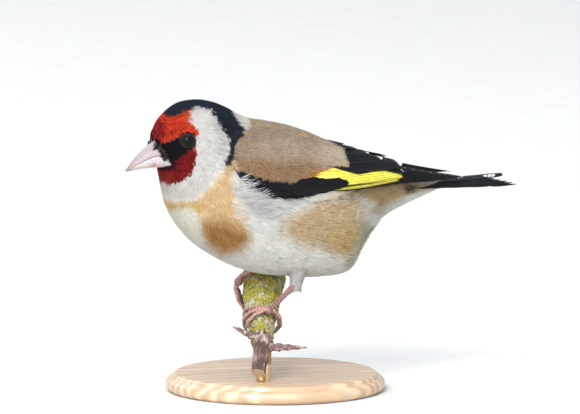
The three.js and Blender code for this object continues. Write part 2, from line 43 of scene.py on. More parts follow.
PHOTO_SIZE = (580, 414)
BIRD_PIXEL = (300, 200)  # where BODY_CENTRE shows in the photograph
MM_PER_PIXEL = 0.31
LENS = 1000
SENSOR = 36

view_right = np.array((np.cos(VIEW_AZIMUTH), np.sin(VIEW_AZIMUTH), 0))
view_back = np.array((np.sin(VIEW_AZIMUTH) * np.cos(VIEW_ELEVATION),
                      -np.cos(VIEW_AZIMUTH) * np.cos(VIEW_ELEVATION),
                      np.sin(VIEW_ELEVATION)))
view_up = np.cross(view_back, view_right)
aim = (BODY_CENTRE
       + view_right * (PHOTO_SIZE[0] / 2 - BIRD_PIXEL[0]) * MM_PER_PIXEL
       + view_up * (BIRD_PIXEL[1] - PHOTO_SIZE[1] / 2) * MM_PER_PIXEL)
camera_distance = MM_PER_PIXEL * PHOTO_SIZE[0] * LENS / SENSOR
camera = bpy.data.objects.new("camera", bpy.data.cameras.new("camera"))
camera.data.lens = LENS
camera.data.sensor_width = SENSOR
camera.data.clip_end = 50
placing = np.eye(4)
placing[:3, 0], placing[:3, 1], placing[:3, 2] = view_right, view_up, view_back
placing[:3, 3] = (aim + view_back * camera_distance) / 1000
camera.matrix_world = placing.T.tolist()
bpy.context.scene.collection.objects.link(camera)
bpy.context.scene.camera = camera
bpy.context.scene.view_settings.view_transform = "Standard"


def turned_towards(place, target):
    """A 4x4 matrix at place whose -Z axis points at target and whose X axis stays level."""
    back = (place - target) / np.linalg.norm(place - target)
    right = np.cross((0, 0, 1), back)
    right /= np.linalg.norm(right)
    matrix = np.eye(4)
    matrix[:3, 0], matrix[:3, 1], matrix[:3, 2] = right, np.cross(back, right), back
    matrix[:3, 3] = place
    return matrix


def soft_lamp(name, place, size, power, colour):
    """A square lamp of that size in metres, which faces the bird."""
    light = bpy.data.lights.new(name, "AREA")
    light.size = size
    light.energy = power
    light.color = colour
    lamp = bpy.data.objects.new(name, light)
    lamp.matrix_world = turned_towards(np.array(place), BODY_CENTRE / 1000).T.tolist()
    bpy.context.scene.collection.objects.link(lamp)


soft_lamp("lamp_key", (-0.75, -1.0, 1.25), 0.5, 21, (1.0, 0.98, 0.95))
soft_lamp("lamp_fill", (-0.65, -1.45, 0.27), 2.0, 60, (0.99, 0.99, 1.0))
soft_lamp("lamp_far", (-0.5, 1.1, 0.9), 1.1, 8, (1.0, 0.98, 0.94))
soft_lamp("lamp_top", (0.15, 0.1, 1.5), 1.0, 11, (0.96, 0.98, 1.0))

sky = bpy.data.worlds.new("studio")
sky.use_nodes = True
sky.node_tree.nodes["Background"].inputs["Color"].default_value = (0.86, 0.92, 1.0, 1)
sky.node_tree.nodes["Background"].inputs["Strength"].default_value = 0.65
bpy.context.scene.world = sky


def node(tree, kind, **inputs):
    """A shader node of that kind. Each input is linked where its value is a socket, and set otherwise; a
    name that ends in _ is a setting of the node itself."""
    made = tree.nodes.new("ShaderNode" + kind)
    for name, value in inputs.items():
        if name.endswith("_"):
            setattr(made, name[:-1], value)
            continue
        socket = made.inputs[name.replace("__", " ")]
        if isinstance(value, bpy.types.NodeSocket):
            tree.links.new(value, socket)
        else:
            socket.default_value = value
    return made


def finish(name, colour=None, roughness=0.5, **constants):
    """A material with one shader, and its node tree. The constants go on the shader's own sockets."""
    material = bpy.data.materials.new(name)
    material.use_nodes = True
    shader = material.node_tree.nodes["Principled BSDF"]
    shader.inputs["Roughness"].default_value = roughness
    if colour is not None:
        shader.inputs["Base Color"].default_value = (*colour, 1)
    for socket, value in constants.items():
        shader.inputs[socket.replace("__", " ")].default_value = value
    return material, material.node_tree, shader


def ramp(tree, value, stops, kind="LINEAR"):
    """A colour ramp through (place, colour) stops, driven by value; its colour output."""
    made = node(tree, "ValToRGB", Fac=value)
    made.color_ramp.interpolation = kind
    while len(made.color_ramp.elements) < len(stops):
        made.color_ramp.elements.new(0.5)
    for element, (place, colour) in zip(made.color_ramp.elements, stops):
        element.position = place
        element.color = (*colour, 1)
    return made.outputs["Color"]


def blended(tree, share, low, high, kind="MIX"):
    """Two colours mixed by share; the result's output. A plain tuple stands for a constant colour."""
    made = node(tree, "Mix", data_type_="RGBA", blend_type_=kind)
    for socket, value in ((0, share), (6, low), (7, high)):
        if isinstance(value, bpy.types.NodeSocket):
            tree.links.new(value, made.inputs[socket])
        else:
            made.inputs[socket].default_value = (*value, 1) if socket else value
    return made.outputs[2]


def object_place(tree):
    return node(tree, "TexCoord").outputs["Object"]


def own_colour(tree):
    """The colour that each of the piece's points carries."""
    return node(tree, "Attribute", attribute_name_="colour").outputs["Color"]


def tinted(tree, colour, value, stops):
    """The colour multiplied by a colour ramp through the stops, driven by value; the result's output."""
    return blended(tree, 1.0, colour, ramp(tree, value, stops), "MULTIPLY")


def bumped(tree, shader, height, distance, strength=1.0):
    """The shader's normal tilted by a height, whose full swing is distance in metres."""
    bump = node(tree, "Bump", Height=height, Distance=distance, Strength=strength)
    tree.links.new(bump.outputs["Normal"], shader.inputs["Normal"])


def quads_of(rows, columns, closed=False, first=0):
    """The faces of a grid of rows by columns points, as an array of four corners each; closed joins the
    last column to the first."""
    along_row = np.arange(columns if closed else columns - 1)
    beside = (along_row + 1) % columns
    row = np.arange(rows - 1)[:, None] * columns
    quads = np.stack((row + along_row, row + beside, row + columns + beside, row + columns + along_row), -1)
    return quads.reshape(-1, 4) + first


def add_piece(name, points, faces, material, slot, colours=None, maps=None, smooth=True):
    """A mesh object at the origin from points in mm about BODY_CENTRE. faces is a list of arrays with as
    many columns as the faces have corners; colours is one linear colour a point, and maps holds a UV place
    for each point by the map's name."""
    mesh = bpy.data.meshes.new(name)
    corners = np.concatenate([f.ravel() for f in faces]).astype(np.int32)
    counts = np.concatenate([np.full(len(f), f.shape[1]) for f in faces])
    mesh.vertices.add(len(points))
    mesh.vertices.foreach_set("co", ((points + BODY_CENTRE) / 1000).astype(np.float32).ravel())
    mesh.loops.add(len(corners))
    mesh.loops.foreach_set("vertex_index", corners)
    mesh.polygons.add(len(counts))
    mesh.polygons.foreach_set("loop_start", np.concatenate(([0], np.cumsum(counts)[:-1])).astype(np.int32))
    mesh.update(calc_edges=True)
    mesh.polygons.foreach_set("use_smooth", np.full(len(counts), smooth))
    if colours is not None:
        layer = mesh.attributes.new("colour", "FLOAT_COLOR", "POINT")
        layer.data.foreach_set("color",
                               np.column_stack((colours, np.ones(len(points)))).astype(np.float32).ravel())
    for map_name, places in (maps or {}).items():
        layer = mesh.uv_layers.new(name=map_name)
        layer.uv.foreach_set("vector", places[corners].astype(np.float32).ravel())
    mesh.materials.append(material)
    piece = bpy.data.objects.new(name, mesh)
    bpy.context.scene.collection.objects.link(piece)
    if slot:
        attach(piece, "root")
    return piece


def full_turn(count):
    """That many turns spread evenly round a circle, from 0."""
    return np.linspace(0, 2 * np.pi, count, endpoint=False)


FLOOR_RADIUS = 9000
floor_finish, tree, shader = finish("pale_floor", roughness=0.75)
speckle = node(tree, "TexNoise", Vector=object_place(tree), Scale=90, Detail=3)
tree.links.new(ramp(tree, speckle.outputs["Fac"], [(0.3, (0.62, 0.615, 0.605)), (0.7, (0.645, 0.64, 0.63))]),
               shader.inputs["Base Color"])
floor_radii = np.linspace(0, 1, 30)[:, None] ** 2 * FLOOR_RADIUS + 0.5
floor_turns = full_turn(64)[None, :]
floor = add_piece(
    "floor",
    np.stack((floor_radii * np.cos(floor_turns), floor_radii * np.sin(floor_turns),
              np.full(floor_radii.shape, -0.05) - BODY_CENTRE[2] + 0 * floor_turns), -1).reshape(-1, 3),
    [quads_of(30, 64, closed=True)], floor_finish, None)


# The stand: a round base turned from pale beech with a stepped, rounded edge, oiled and waxed, and two
# plain brass rods let into it, which carry the ends of the perch.
BASE_MIDDLE = -8  # x of the base, and the height below, about the bird's middle in mm
BASE_BOTTOM = -59
# The turned edge from the floor up: radius and height above the bottom
BASE_PROFILE = [(0.01, 0), (32.6, 0), (33.5, 0.5), (34, 1.2), (34, 2.6), (33.7, 3.3), (33.1, 3.85),
                (32.4, 4.0), (32.2, 4.05), (31.9, 4.4), (31.75, 4.9), (31.4, 5.3), (30.7, 5.5), (20, 5.5),
                (10, 5.5), (0.01, 5.5)]
BEECH_DARK = (0.48, 0.325, 0.20)
BEECH = (0.55, 0.385, 0.245)
BEECH_PALE = (0.66, 0.50, 0.345)
BRASS = (0.66, 0.45, 0.18)
BASE_SIDES = 128
RODS = {"stand_rod_front": 0.2, "stand_rod_back": 0.95}  # how far along the perch each one stands


def lathe(profile, middle_x, middle_y, bottom, sides):
    """A profile of (radius, height) points turned round an upright axis: x and y are the radius times the
    cosine and sine of the turn."""
    radius, height = np.array(profile, float).T
    turn = full_turn(sides)
    points = np.stack((middle_x + radius[:, None] * np.cos(turn),
                       middle_y + radius[:, None] * np.sin(turn),
                       np.repeat(bottom + height[:, None], sides, 1)), -1)
    return points.reshape(-1, 3), [quads_of(len(profile), sides, closed=True)]


beech, tree, shader = finish("beech", roughness=0.38, Coat__Weight=0.35, Coat__Roughness=0.16)
grain_place = node(tree, "Mapping", Vector=object_place(tree),
                   Location=(0.03, 0.31, 0.02), Rotation=(0.05, 0.04, 0.3), Scale=(1, 9, 9)).outputs["Vector"]
waver = node(tree, "TexNoise", Vector=grain_place, Scale=16, Detail=4)
figure = node(tree, "TexWave", Vector=grain_place, Scale=9, Distortion=9, Detail=3, Detail__Scale=1.4,
              bands_direction_="Y")
pores = node(tree, "TexNoise", Vector=grain_place, Scale=420, Detail=2, Roughness=0.7)
warm = ramp(tree, figure.outputs["Fac"], [(0.1, BEECH_DARK), (0.5, BEECH), (0.95, BEECH_PALE)])
shade = ramp(tree, waver.outputs["Fac"], [(0.3, (0.86, 0.84, 0.82)), (0.7, (1.0, 1.0, 1.0))])
pitted = ramp(tree, pores.outputs["Fac"], [(0.30, (0.72, 0.68, 0.64)), (0.42, (1.0, 1.0, 1.0))])
tree.links.new(blended(tree, 1.0, blended(tree, 1.0, warm, shade, "MULTIPLY"), pitted, "MULTIPLY"),
               shader.inputs["Base Color"])
bumped(tree, shader, pores.outputs["Fac"], 0.00012, 0.5)
points, faces = lathe(BASE_PROFILE, BASE_MIDDLE, 0, BASE_BOTTOM, BASE_SIDES)
stand_base = add_piece("turned_base", points, faces, beech, "stand_wood")
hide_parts("stand_base")

brass, tree, shader = finish("brass", BRASS, 0.28, Metallic=1.0)
place = object_place(tree)
drawn = node(tree, "TexNoise",
             Vector=node(tree, "Mapping", Vector=place, Scale=(1, 1, 0.06)).outputs["Vector"], Scale=2600,
             Detail=2)
tarnish = node(tree, "TexNoise", Vector=place, Scale=140, Detail=5)
tree.links.new(ramp(tree, tarnish.outputs["Fac"], [(0.35, (0.50, 0.31, 0.11)), (0.62, BRASS)]),
               shader.inputs["Base Color"])
tree.links.new(node(tree, "MapRange", Value=tarnish.outputs["Fac"], To__Min=0.42,
                    To__Max=0.2).outputs["Result"],
               shader.inputs["Roughness"])
bumped(tree, shader, drawn.outputs["Fac"], 0.00004, 0.6)
for name in RODS:
    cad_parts[name].material_slots[0].material = brass


# The perch: a cut length of old hawthorn branch that ends in a bare twig with two thorns. Its bark is
# cracked along its length and crusted with leafy yellow-green lichen, with orange spore cups on it.
PERCH_POINTS = np.array([(-20.3, -22, -50.1), (-17, -15, -42.9), (-14.4, -6.5, -36), (-10.4, 6, -29.6),
                         (-3.7, 22, -22.6)])
PERCH_RADII = np.array([2.3, 2.8, 4.2, 5.9, 6.2])
THORNS = [(0.3, (-26.4, -14.5, -36.4), 1.5), (0.24, (-3, -17.5, -43.6), 1.6)]  # from, tip and root radius
THORN_STEPS = 60
BARK_STEPS, BARK_SIDES = 300, 96
LICHEN_FROM = 0.3  # share of the perch at which the crust begins
LICHEN_ROSETTES = 130
SPORE_CUPS = 70
TWIG_BROWN = (0.165, 0.098, 0.090)
TWIG_PALE = (0.40, 0.35, 0.34)
# The dark colour below is painted shade, laid in the bark's cracks
BARK_CRACK_SHADE = (0.075, 0.050, 0.036)
BARK_BROWN = (0.200, 0.145, 0.105)
BARK_GREY = (0.36, 0.325, 0.275)
LICHEN_GREEN = (0.225, 0.230, 0.045)
LICHEN_YELLOW = (0.42, 0.36, 0.05)
LICHEN_GREY = (0.36, 0.39, 0.30)
CUP_ORANGE = (0.50, 0.22, 0.02)


def smoothstep(value, low, high):
    """0 up to low and 1 past high, with a smooth S between them."""
    share = np.clip((value - low) / (high - low), 0, 1)
    return share * share * (3 - 2 * share)


def mixed(low, high, share):
    low, high = np.asarray(low), np.asarray(high)
    return low + (high - low) * share


def along_list(values, t):
    """A smooth curve (Catmull-Rom) through equally spaced values, carried on straight past both ends."""
    values = np.asarray(values, float)
    inside = np.clip(t, 0, len(values) - 1)
    i = np.minimum(inside.astype(int), len(values) - 2)
    f = inside - i
    a, b, c, d = (values[np.clip(i + k, 0, len(values) - 1)] for k in (-1, 0, 1, 2))
    curve = b + 0.5 * f * (c - a + f * (2 * a - 5 * b + 4 * c - d + f * (3 * (b - c) + d - a)))
    end_slope = np.where(t < 0, values[1] - values[0], values[-1] - values[-2])
    return curve + (t - inside) * end_slope


def smooth_noise(points, size, seed):
    """Value noise from 0 to 1 with lumps of that size in mm: a hash at each corner of the cell, blended by
    smoothed shares along the three axes."""
    at = np.asarray(points, float) / size + seed * 17.31
    cell = np.floor(at).astype(np.int64)
    share = at - cell
    share = share * share * (3 - 2 * share)
    total = np.zeros(at.shape[:-1])
    for corner in np.ndindex(2, 2, 2):
        x, y, z = (cell[..., k] + corner[k] for k in range(3))
        mixed_bits = (x * 73856093) ^ (y * 19349663) ^ (z * 83492791) ^ (seed * 2654435761)
        mixed_bits = (mixed_bits ^ (mixed_bits >> 13)) * 1274126177
        value = ((mixed_bits ^ (mixed_bits >> 16)) & 0xFFFF) / 65535.0
        weight = np.prod([share[..., k] if corner[k] else 1 - share[..., k] for k in range(3)], axis=0)
        total += weight * value
    return total


def perch_line(u):
    """The middle of the perch at share u: a Catmull-Rom curve through PERCH_POINTS whose steps go by the
    square root of the distance, so that it doesn't overshoot."""
    u = np.clip(u, 0, 1) * (len(PERCH_POINTS) - 1)
    i = np.minimum(u.astype(int), len(PERCH_POINTS) - 2)
    f = (u - i)[..., None]
    padded = np.concatenate(([2 * PERCH_POINTS[0] - PERCH_POINTS[1]], PERCH_POINTS,
                             [2 * PERCH_POINTS[-1] - PERCH_POINTS[-2]]))
    a, b, c, d = (padded[i + k] for k in range(4))
    before, here, after = (np.sqrt(np.linalg.norm(q - p, axis=-1, keepdims=True))
                           for p, q in ((a, b), (b, c), (c, d)))
    leave = ((b - a) / before - (c - a) / (before + here) + (c - b) / here) * here
    arrive = ((c - b) / here - (d - b) / (here + after) + (d - c) / after) * here
    return (b + f * leave + f ** 2 * (3 * (c - b) - 2 * leave - arrive)
            + f ** 3 * (2 * (b - c) + leave + arrive))


def on_perch(u, turn, height):
    """A point over the bark: the perch's middle at u, plus (its radius + height) along a direction turned
    by turn from straight up about the middle line."""
    step = 0.004
    ahead = perch_line(np.minimum(u + step, 1)) - perch_line(np.maximum(u - step, 0))
    ahead /= np.linalg.norm(ahead, axis=-1, keepdims=True)
    over = np.array((0.0, 0.0, 1.0)) - ahead * ahead[..., 2:]
    over /= np.linalg.norm(over, axis=-1, keepdims=True)
    across = np.cross(ahead, over)
    reach = (along_list(PERCH_RADII, np.asarray(u) * (len(PERCH_RADII) - 1)) + height)[..., None]
    return perch_line(u) + (np.cos(turn)[..., None] * over + np.sin(turn)[..., None] * across) * reach


def bark_relief(u, turn):
    """How far the bark stands over the perch's plain tube: long plates between cracks, fine ridges along
    the branch, and a few swollen rings where side twigs were."""
    bare = on_perch(u, turn, np.zeros(np.broadcast(u, turn).shape))
    stretched = np.stack((np.cos(turn) * 6, np.sin(turn) * 6, u * 16 + 0 * turn), -1)
    plates = np.abs(smooth_noise(stretched, 2.3, 3) - 0.5) * 2
    fine = smooth_noise(bare, 0.7, 5) - 0.5
    knots = (0.35 * np.exp(-((u - 0.41) / 0.018) ** 2) + 0.75 * np.exp(-((u - 0.28) / 0.03) ** 2)
             + 0.4 * np.exp(-((u - 0.12) / 0.02) ** 2))
    lumps = smooth_noise(bare, 4.5, 9) - 0.5
    return -0.35 * smoothstep(plates, 0.32, 0.02) + 0.28 * fine + 0.5 * lumps + knots - 0.08


def thorn_points(start, tip, radius):
    """A slim cone from the perch's middle at start to the tip, its radius falling by a power of the way and
    swelling by waves of it, as buds and old scars do."""
    way = np.linspace(0, 1, THORN_STEPS)[:, None]
    turn = full_turn(14)
    root = perch_line(np.array(start))
    ahead = np.array(tip) - root
    ahead /= np.linalg.norm(ahead)
    side = np.cross(ahead, (0, 0, 1))
    side /= np.linalg.norm(side)
    ring = np.cos(turn)[:, None] * side + np.sin(turn)[:, None] * np.cross(side, ahead)
    knobs = 1 + 0.13 * np.sin(way * 31 + 9 * start) + 0.08 * np.sin(way * 73 + turn)
    reach = (np.maximum(0.06, radius * (1 - way) ** 0.62 * knobs))[:, :, None]
    return (mixed(root, tip, way)[:, None, :] + ring * reach).reshape(-1, 3)


bark, tree, shader = finish("bark", roughness=0.9)
place = object_place(tree)
painted = own_colour(tree)
grit = node(tree, "TexNoise", Vector=place, Scale=2600, Detail=6, Roughness=0.65)
scabs = node(tree, "TexVoronoi", Vector=place, Scale=900)
tree.links.new(tinted(tree, painted, grit.outputs["Fac"],
                      [(0.28, (0.5, 0.47, 0.45)), (0.7, (1.25, 1.22, 1.2))]), shader.inputs["Base Color"])
bumped(tree, shader, blended(tree, 0.4, grit.outputs["Color"], scabs.outputs["Color"]), 0.00025, 0.8)

u_grid, turn_grid = np.meshgrid(np.linspace(0, 1, BARK_STEPS),
                                full_turn(BARK_SIDES), indexing="ij")
relief = bark_relief(u_grid, turn_grid)
bark_points = on_perch(u_grid, turn_grid, relief).reshape(-1, 3)
# Each cut end closes on rings that shrink to the middle, a little hollow as a sawn end dries
cut_rings = []
for end_row in (0, BARK_STEPS - 1):
    ring = bark_points.reshape(BARK_STEPS, BARK_SIDES, 3)[end_row]
    middle = ring.mean(0)
    cut_rings.append([middle + (ring - middle) * share for share in (0.97, 0.7, 0.35, 0.002)])
bark_grid = np.concatenate([cut_rings[0][::-1], bark_points.reshape(BARK_STEPS, BARK_SIDES, 3), cut_rings[1]])
row_count = len(bark_grid)
way = np.clip((np.arange(row_count) - 4) / (BARK_STEPS - 1), 0, 1)[:, None]
patches = smooth_noise(bark_grid, 2.6, 21) + 0.5 * smooth_noise(bark_grid, 1.1, 22)
covered = smoothstep(patches + 0.75 * smoothstep(way, LICHEN_FROM, 0.6) - 0.42 * (way < 0.2), 0.95, 1.2)
tone = smooth_noise(bark_grid, 1.9, 25)[..., None]
bark_colours = mixed(BARK_BROWN, BARK_GREY, smoothstep(tone, 0.3, 0.75))
twig_colours = mixed(TWIG_BROWN, TWIG_PALE, smoothstep(tone, 0.55, 0.8))
bark_colours = mixed(twig_colours, bark_colours, smoothstep(way, 0.26, 0.42)[..., None])
full_relief = np.zeros((row_count, BARK_SIDES))
full_relief[4:4 + BARK_STEPS] = relief
# Painted shade: the bark is darker where its relief sinks into the cracks
bark_colours = mixed(bark_colours, BARK_CRACK_SHADE, smoothstep(full_relief, 0.0, -0.4)[..., None])
crust = mixed(LICHEN_GREEN, LICHEN_YELLOW, smoothstep(smooth_noise(bark_grid, 1.3, 31), 0.35, 0.8)[..., None])
crust = mixed(crust, LICHEN_GREY, smoothstep(smooth_noise(bark_grid, 2.2, 33), 0.55, 0.8)[..., None])
bark_colours = mixed(bark_colours, crust, covered[..., None])
bark_colours[[0, 1, 2, 3, -4, -3, -2, -1]] = (0.42, 0.30, 0.18)
perch_points = [bark_grid.reshape(-1, 3)]
perch_faces = [quads_of(row_count, BARK_SIDES, closed=True)]
perch_colours = [bark_colours.reshape(-1, 3)]
for start, tip, radius in THORNS:
    cone = thorn_points(start, tip, radius)
    perch_faces.append(quads_of(THORN_STEPS, 14, closed=True, first=sum(len(p) for p in perch_points)))
    perch_points.append(cone)
    pale = smoothstep(smooth_noise(cone, 0.8, 35), 0.5, 0.75)[:, None]
    perch_colours.append(mixed(TWIG_BROWN, TWIG_PALE, pale))
perch = add_piece("perch", np.concatenate(perch_points), perch_faces, bark, "bark",
                  np.concatenate(perch_colours))
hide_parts("perch_branch", "perch_twig")

draw = np.random.default_rng(7)


def lichen_leaf(u, turn, size, lobes, phase, curl):
    """A lobed disc laid over the bark: its rim radius is size times 1 + waves of the turn round it, its rim
    lifts by curl, and its underside lies 0.12 mm lower. Across it, distance over the perch's length moves
    along the branch and distance over its radius turns round it."""
    rings, sides = 7, 36
    share = np.linspace(0.02, 1, rings)[:, None]
    turn_round = full_turn(sides)[None, :]
    waves = 0.3 * np.sin(lobes * turn_round + phase) * share
    rim = size * (1 + waves + 0.14 * np.sin((2 * lobes + 1) * turn_round - phase))
    x, y = rim * share * np.cos(turn_round), rim * share * np.sin(turn_round)
    at_u = np.clip(u + x / 62, 0, 1)
    at_turn = turn + y / float(along_list(PERCH_RADII, np.array(u * 4.0)))
    raised = 0.6 + 0.4 * np.sin(lobes * turn_round + phase + 1)
    lift = bark_relief(at_u, at_turn) + 0.12 + curl * share ** 2 * raised
    ruffle = 0.16 * np.sin(3 * lobes * turn_round + 2 * phase) * share
    upper = on_perch(at_u, at_turn, lift + ruffle)
    under = on_perch(at_u, at_turn, lift + ruffle - 0.12)
    grid = np.concatenate((upper, under[::-1]))
    return grid.reshape(-1, 3), quads_of(2 * rings, sides, closed=True)[:, ::-1]


leaf_points, leaf_faces, leaf_colours = [], [], []
for k in range(LICHEN_ROSETTES):
    u = LICHEN_FROM + 0.03 + (1 - LICHEN_FROM - 0.06) * draw.random() ** 0.8
    size = draw.uniform(0.9, 2.3)
    points, faces = lichen_leaf(u, draw.uniform(0, 2 * np.pi), size, draw.integers(5, 9), draw.uniform(0, 6),
                                draw.uniform(0.1, 0.55))
    leaf_faces.append(faces + sum(len(p) for p in leaf_points))
    leaf_points.append(points)
    hue = mixed(LICHEN_GREEN, LICHEN_YELLOW, draw.random() ** 1.5)
    if draw.random() < 0.3:
        hue = np.array(LICHEN_GREY)
    share = np.abs(np.concatenate((np.linspace(0, 1, 7), np.linspace(1, 0, 7))))
    leaf_colours.append(np.repeat(hue * (0.7 + 0.5 * share[:, None]), 36, 0))
add_piece("perch_lichen", np.concatenate(leaf_points), [np.concatenate(leaf_faces)], bark, "bark",
          np.concatenate(leaf_colours))

CUP_PROFILE = [(0.02, 0.16), (0.34, 0.1), (0.62, 0.16), (0.85, 0.34), (1.0, 0.42), (1.06, 0.36), (1.0, 0.12),
               (0.8, -0.25), (0.02, -0.3)]
cup_points, cup_faces, cup_colours = [], [], []
for k in range(SPORE_CUPS):
    u = LICHEN_FROM + 0.05 + (1 - LICHEN_FROM - 0.1) * draw.random()
    turn = draw.uniform(0, 2 * np.pi)
    size = draw.uniform(0.3, 0.62)
    radius, height = np.array(CUP_PROFILE).T * size
    round_cup = full_turn(12)
    x, y = radius[:, None] * np.cos(round_cup), radius[:, None] * np.sin(round_cup)
    lift = float(bark_relief(np.array(u), np.array(turn))) + 0.3
    grid = on_perch(np.clip(u + x / 62, 0, 1), turn + y / float(along_list(PERCH_RADII, np.array(u * 4.0))),
                    lift + np.repeat(height[:, None], 12, 1))
    cup_faces.append(quads_of(len(CUP_PROFILE), 12, closed=True)[:, ::-1] + 12 * len(CUP_PROFILE) * k)
    cup_points.append(grid.reshape(-1, 3))
    rim = np.repeat((np.arange(len(CUP_PROFILE)) < 4).astype(float), 12)[:, None]
    cup_colours.append(mixed(np.array(LICHEN_YELLOW), np.array(CUP_ORANGE) * draw.uniform(0.6, 1.2), rim))
add_piece("perch_spore_cups", np.concatenate(cup_points), [np.concatenate(cup_faces)], bark, "bark",
          np.concatenate(cup_colours))

# The body: one skin from the tail's root to the bill's, over both shanks' tops as well. A mounted bird's
# skin is thin and pinkish; here it lies under the plumage by the feathers' depth and carries the same
# markings, so that a gap in the plumage shows its colour and no seam.
# Slices across the body from the tail's root to the bill's: the back line's x and z, the belly line's, half
# width
BODY_SLICES = [
    (44, 5.4, 43.5, 1.5, 4.2),
    (34, 8.6, 33.3, -2.6, 7.4),
    (25, 12, 24.2, -7.1, 11),
    (16.5, 15.2, 17.9, -15.5, 14.6),
    (10.5, 17.6, 14, -22.6, 17.2),
    (4, 20.7, 5, -24.1, 19),
    (-3, 23.4, -5, -23.4, 19.8),
    (-10, 25.2, -15, -22, 19.6),
    (-16, 26.3, -24, -18.8, 18.6),
    (-20.5, 28.2, -33.8, -12.8, 16.8),
    (-24.2, 30.2, -39.6, -6.6, 14.8),
    (-28, 31.8, -42.9, -0.8, 12.4),
    (-32.3, 32.8, -44.3, 4, 10.8),
    (-36.6, 32.8, -45, 7.6, 9.4),
    (-40.3, 32.1, -45.7, 9.8, 8.2),
    (-43.8, 30.3, -46.2, 11, 6.5),
    (-46.7, 27.8, -46.6, 12, 4.8),
    (-48.6, 24.6, -47, 13.2, 3.4),
]
LAST_SLICE = len(BODY_SLICES) - 1
BREAST_SLICE, CHEEK_SLICE = 8, 12  # the head's turn and its squarer section grow between these
CROWN_SLICE, LORES_SLICE = 13, 16  # and its narrower face between these
WIDEST_BELOW_MIDDLE = 0.06
HEAD_SQUARENESS = 0.8
FACE_SQUARENESS = 1.35
HEAD_TURN = np.radians(6)
TURN_PIVOT_X = -22
SKIN_STEPS, SKIN_SIDES = 171, 120
SKIN_TONE = 0.8  # the share of a marking's brightness that the skin under it has
COAT_DEPTH = [(0, 0.9), (3, 1.2), (9, 1.2), (12, 0.75), (17, 0.4)]  # mm at a slice


def turned_head(points, t):
    """Points turned about the upright axis at TURN_PIVOT_X: not at all up to the breast, by HEAD_TURN from
    the cheeks on, and smoothly between them."""
    angle = HEAD_TURN * smoothstep(t, BREAST_SLICE, CHEEK_SLICE)
    x = points[..., 0] - TURN_PIVOT_X
    y = points[..., 1]
    return np.stack((TURN_PIVOT_X + np.cos(angle) * x - np.sin(angle) * y,
                     np.sin(angle) * x + np.cos(angle) * y, points[..., 2]), -1)


def body_surface(t, turn):
    """The plumage's outer face: at slice t, the slice's middle, plus its half height times (cosine - a
    little sine squared) of the turn from the back line, plus its half width times sine to a power."""
    back_x, back_z, belly_x, belly_z, half = (along_list(column, t) for column in np.array(BODY_SLICES).T)
    height = np.cos(turn) - WIDEST_BELOW_MIDDLE * np.sin(turn) ** 2
    squareness = mixed(1, HEAD_SQUARENESS, smoothstep(t, BREAST_SLICE, CHEEK_SLICE))
    squareness = mixed(squareness, FACE_SQUARENESS, smoothstep(t, CROWN_SLICE, LORES_SLICE))
    x = (back_x + belly_x) / 2 + (back_x - belly_x) / 2 * height
    z = (back_z + belly_z) / 2 + (back_z - belly_z) / 2 * height
    y = half * np.sign(np.sin(turn)) * (np.abs(np.sin(turn)) + 1e-6) ** squareness
    return turned_head(np.stack((x, y, z), -1), t)


def surface_slopes(surface, p, q):
    """The place on a surface of two parameters, and how it moves with each, by small steps both ways."""
    step = 0.02
    return (surface(p, q), (surface(p + step, q) - surface(p - step, q)) / (2 * step),
            (surface(p, q + step) - surface(p, q - step)) / (2 * step))


def unit(vectors):
    return vectors / np.maximum(np.linalg.norm(vectors, axis=-1, keepdims=True), 1e-9)


def coat_depth(t):
    slices, depths = zip(*COAT_DEPTH)
    return np.interp(t, slices, depths)


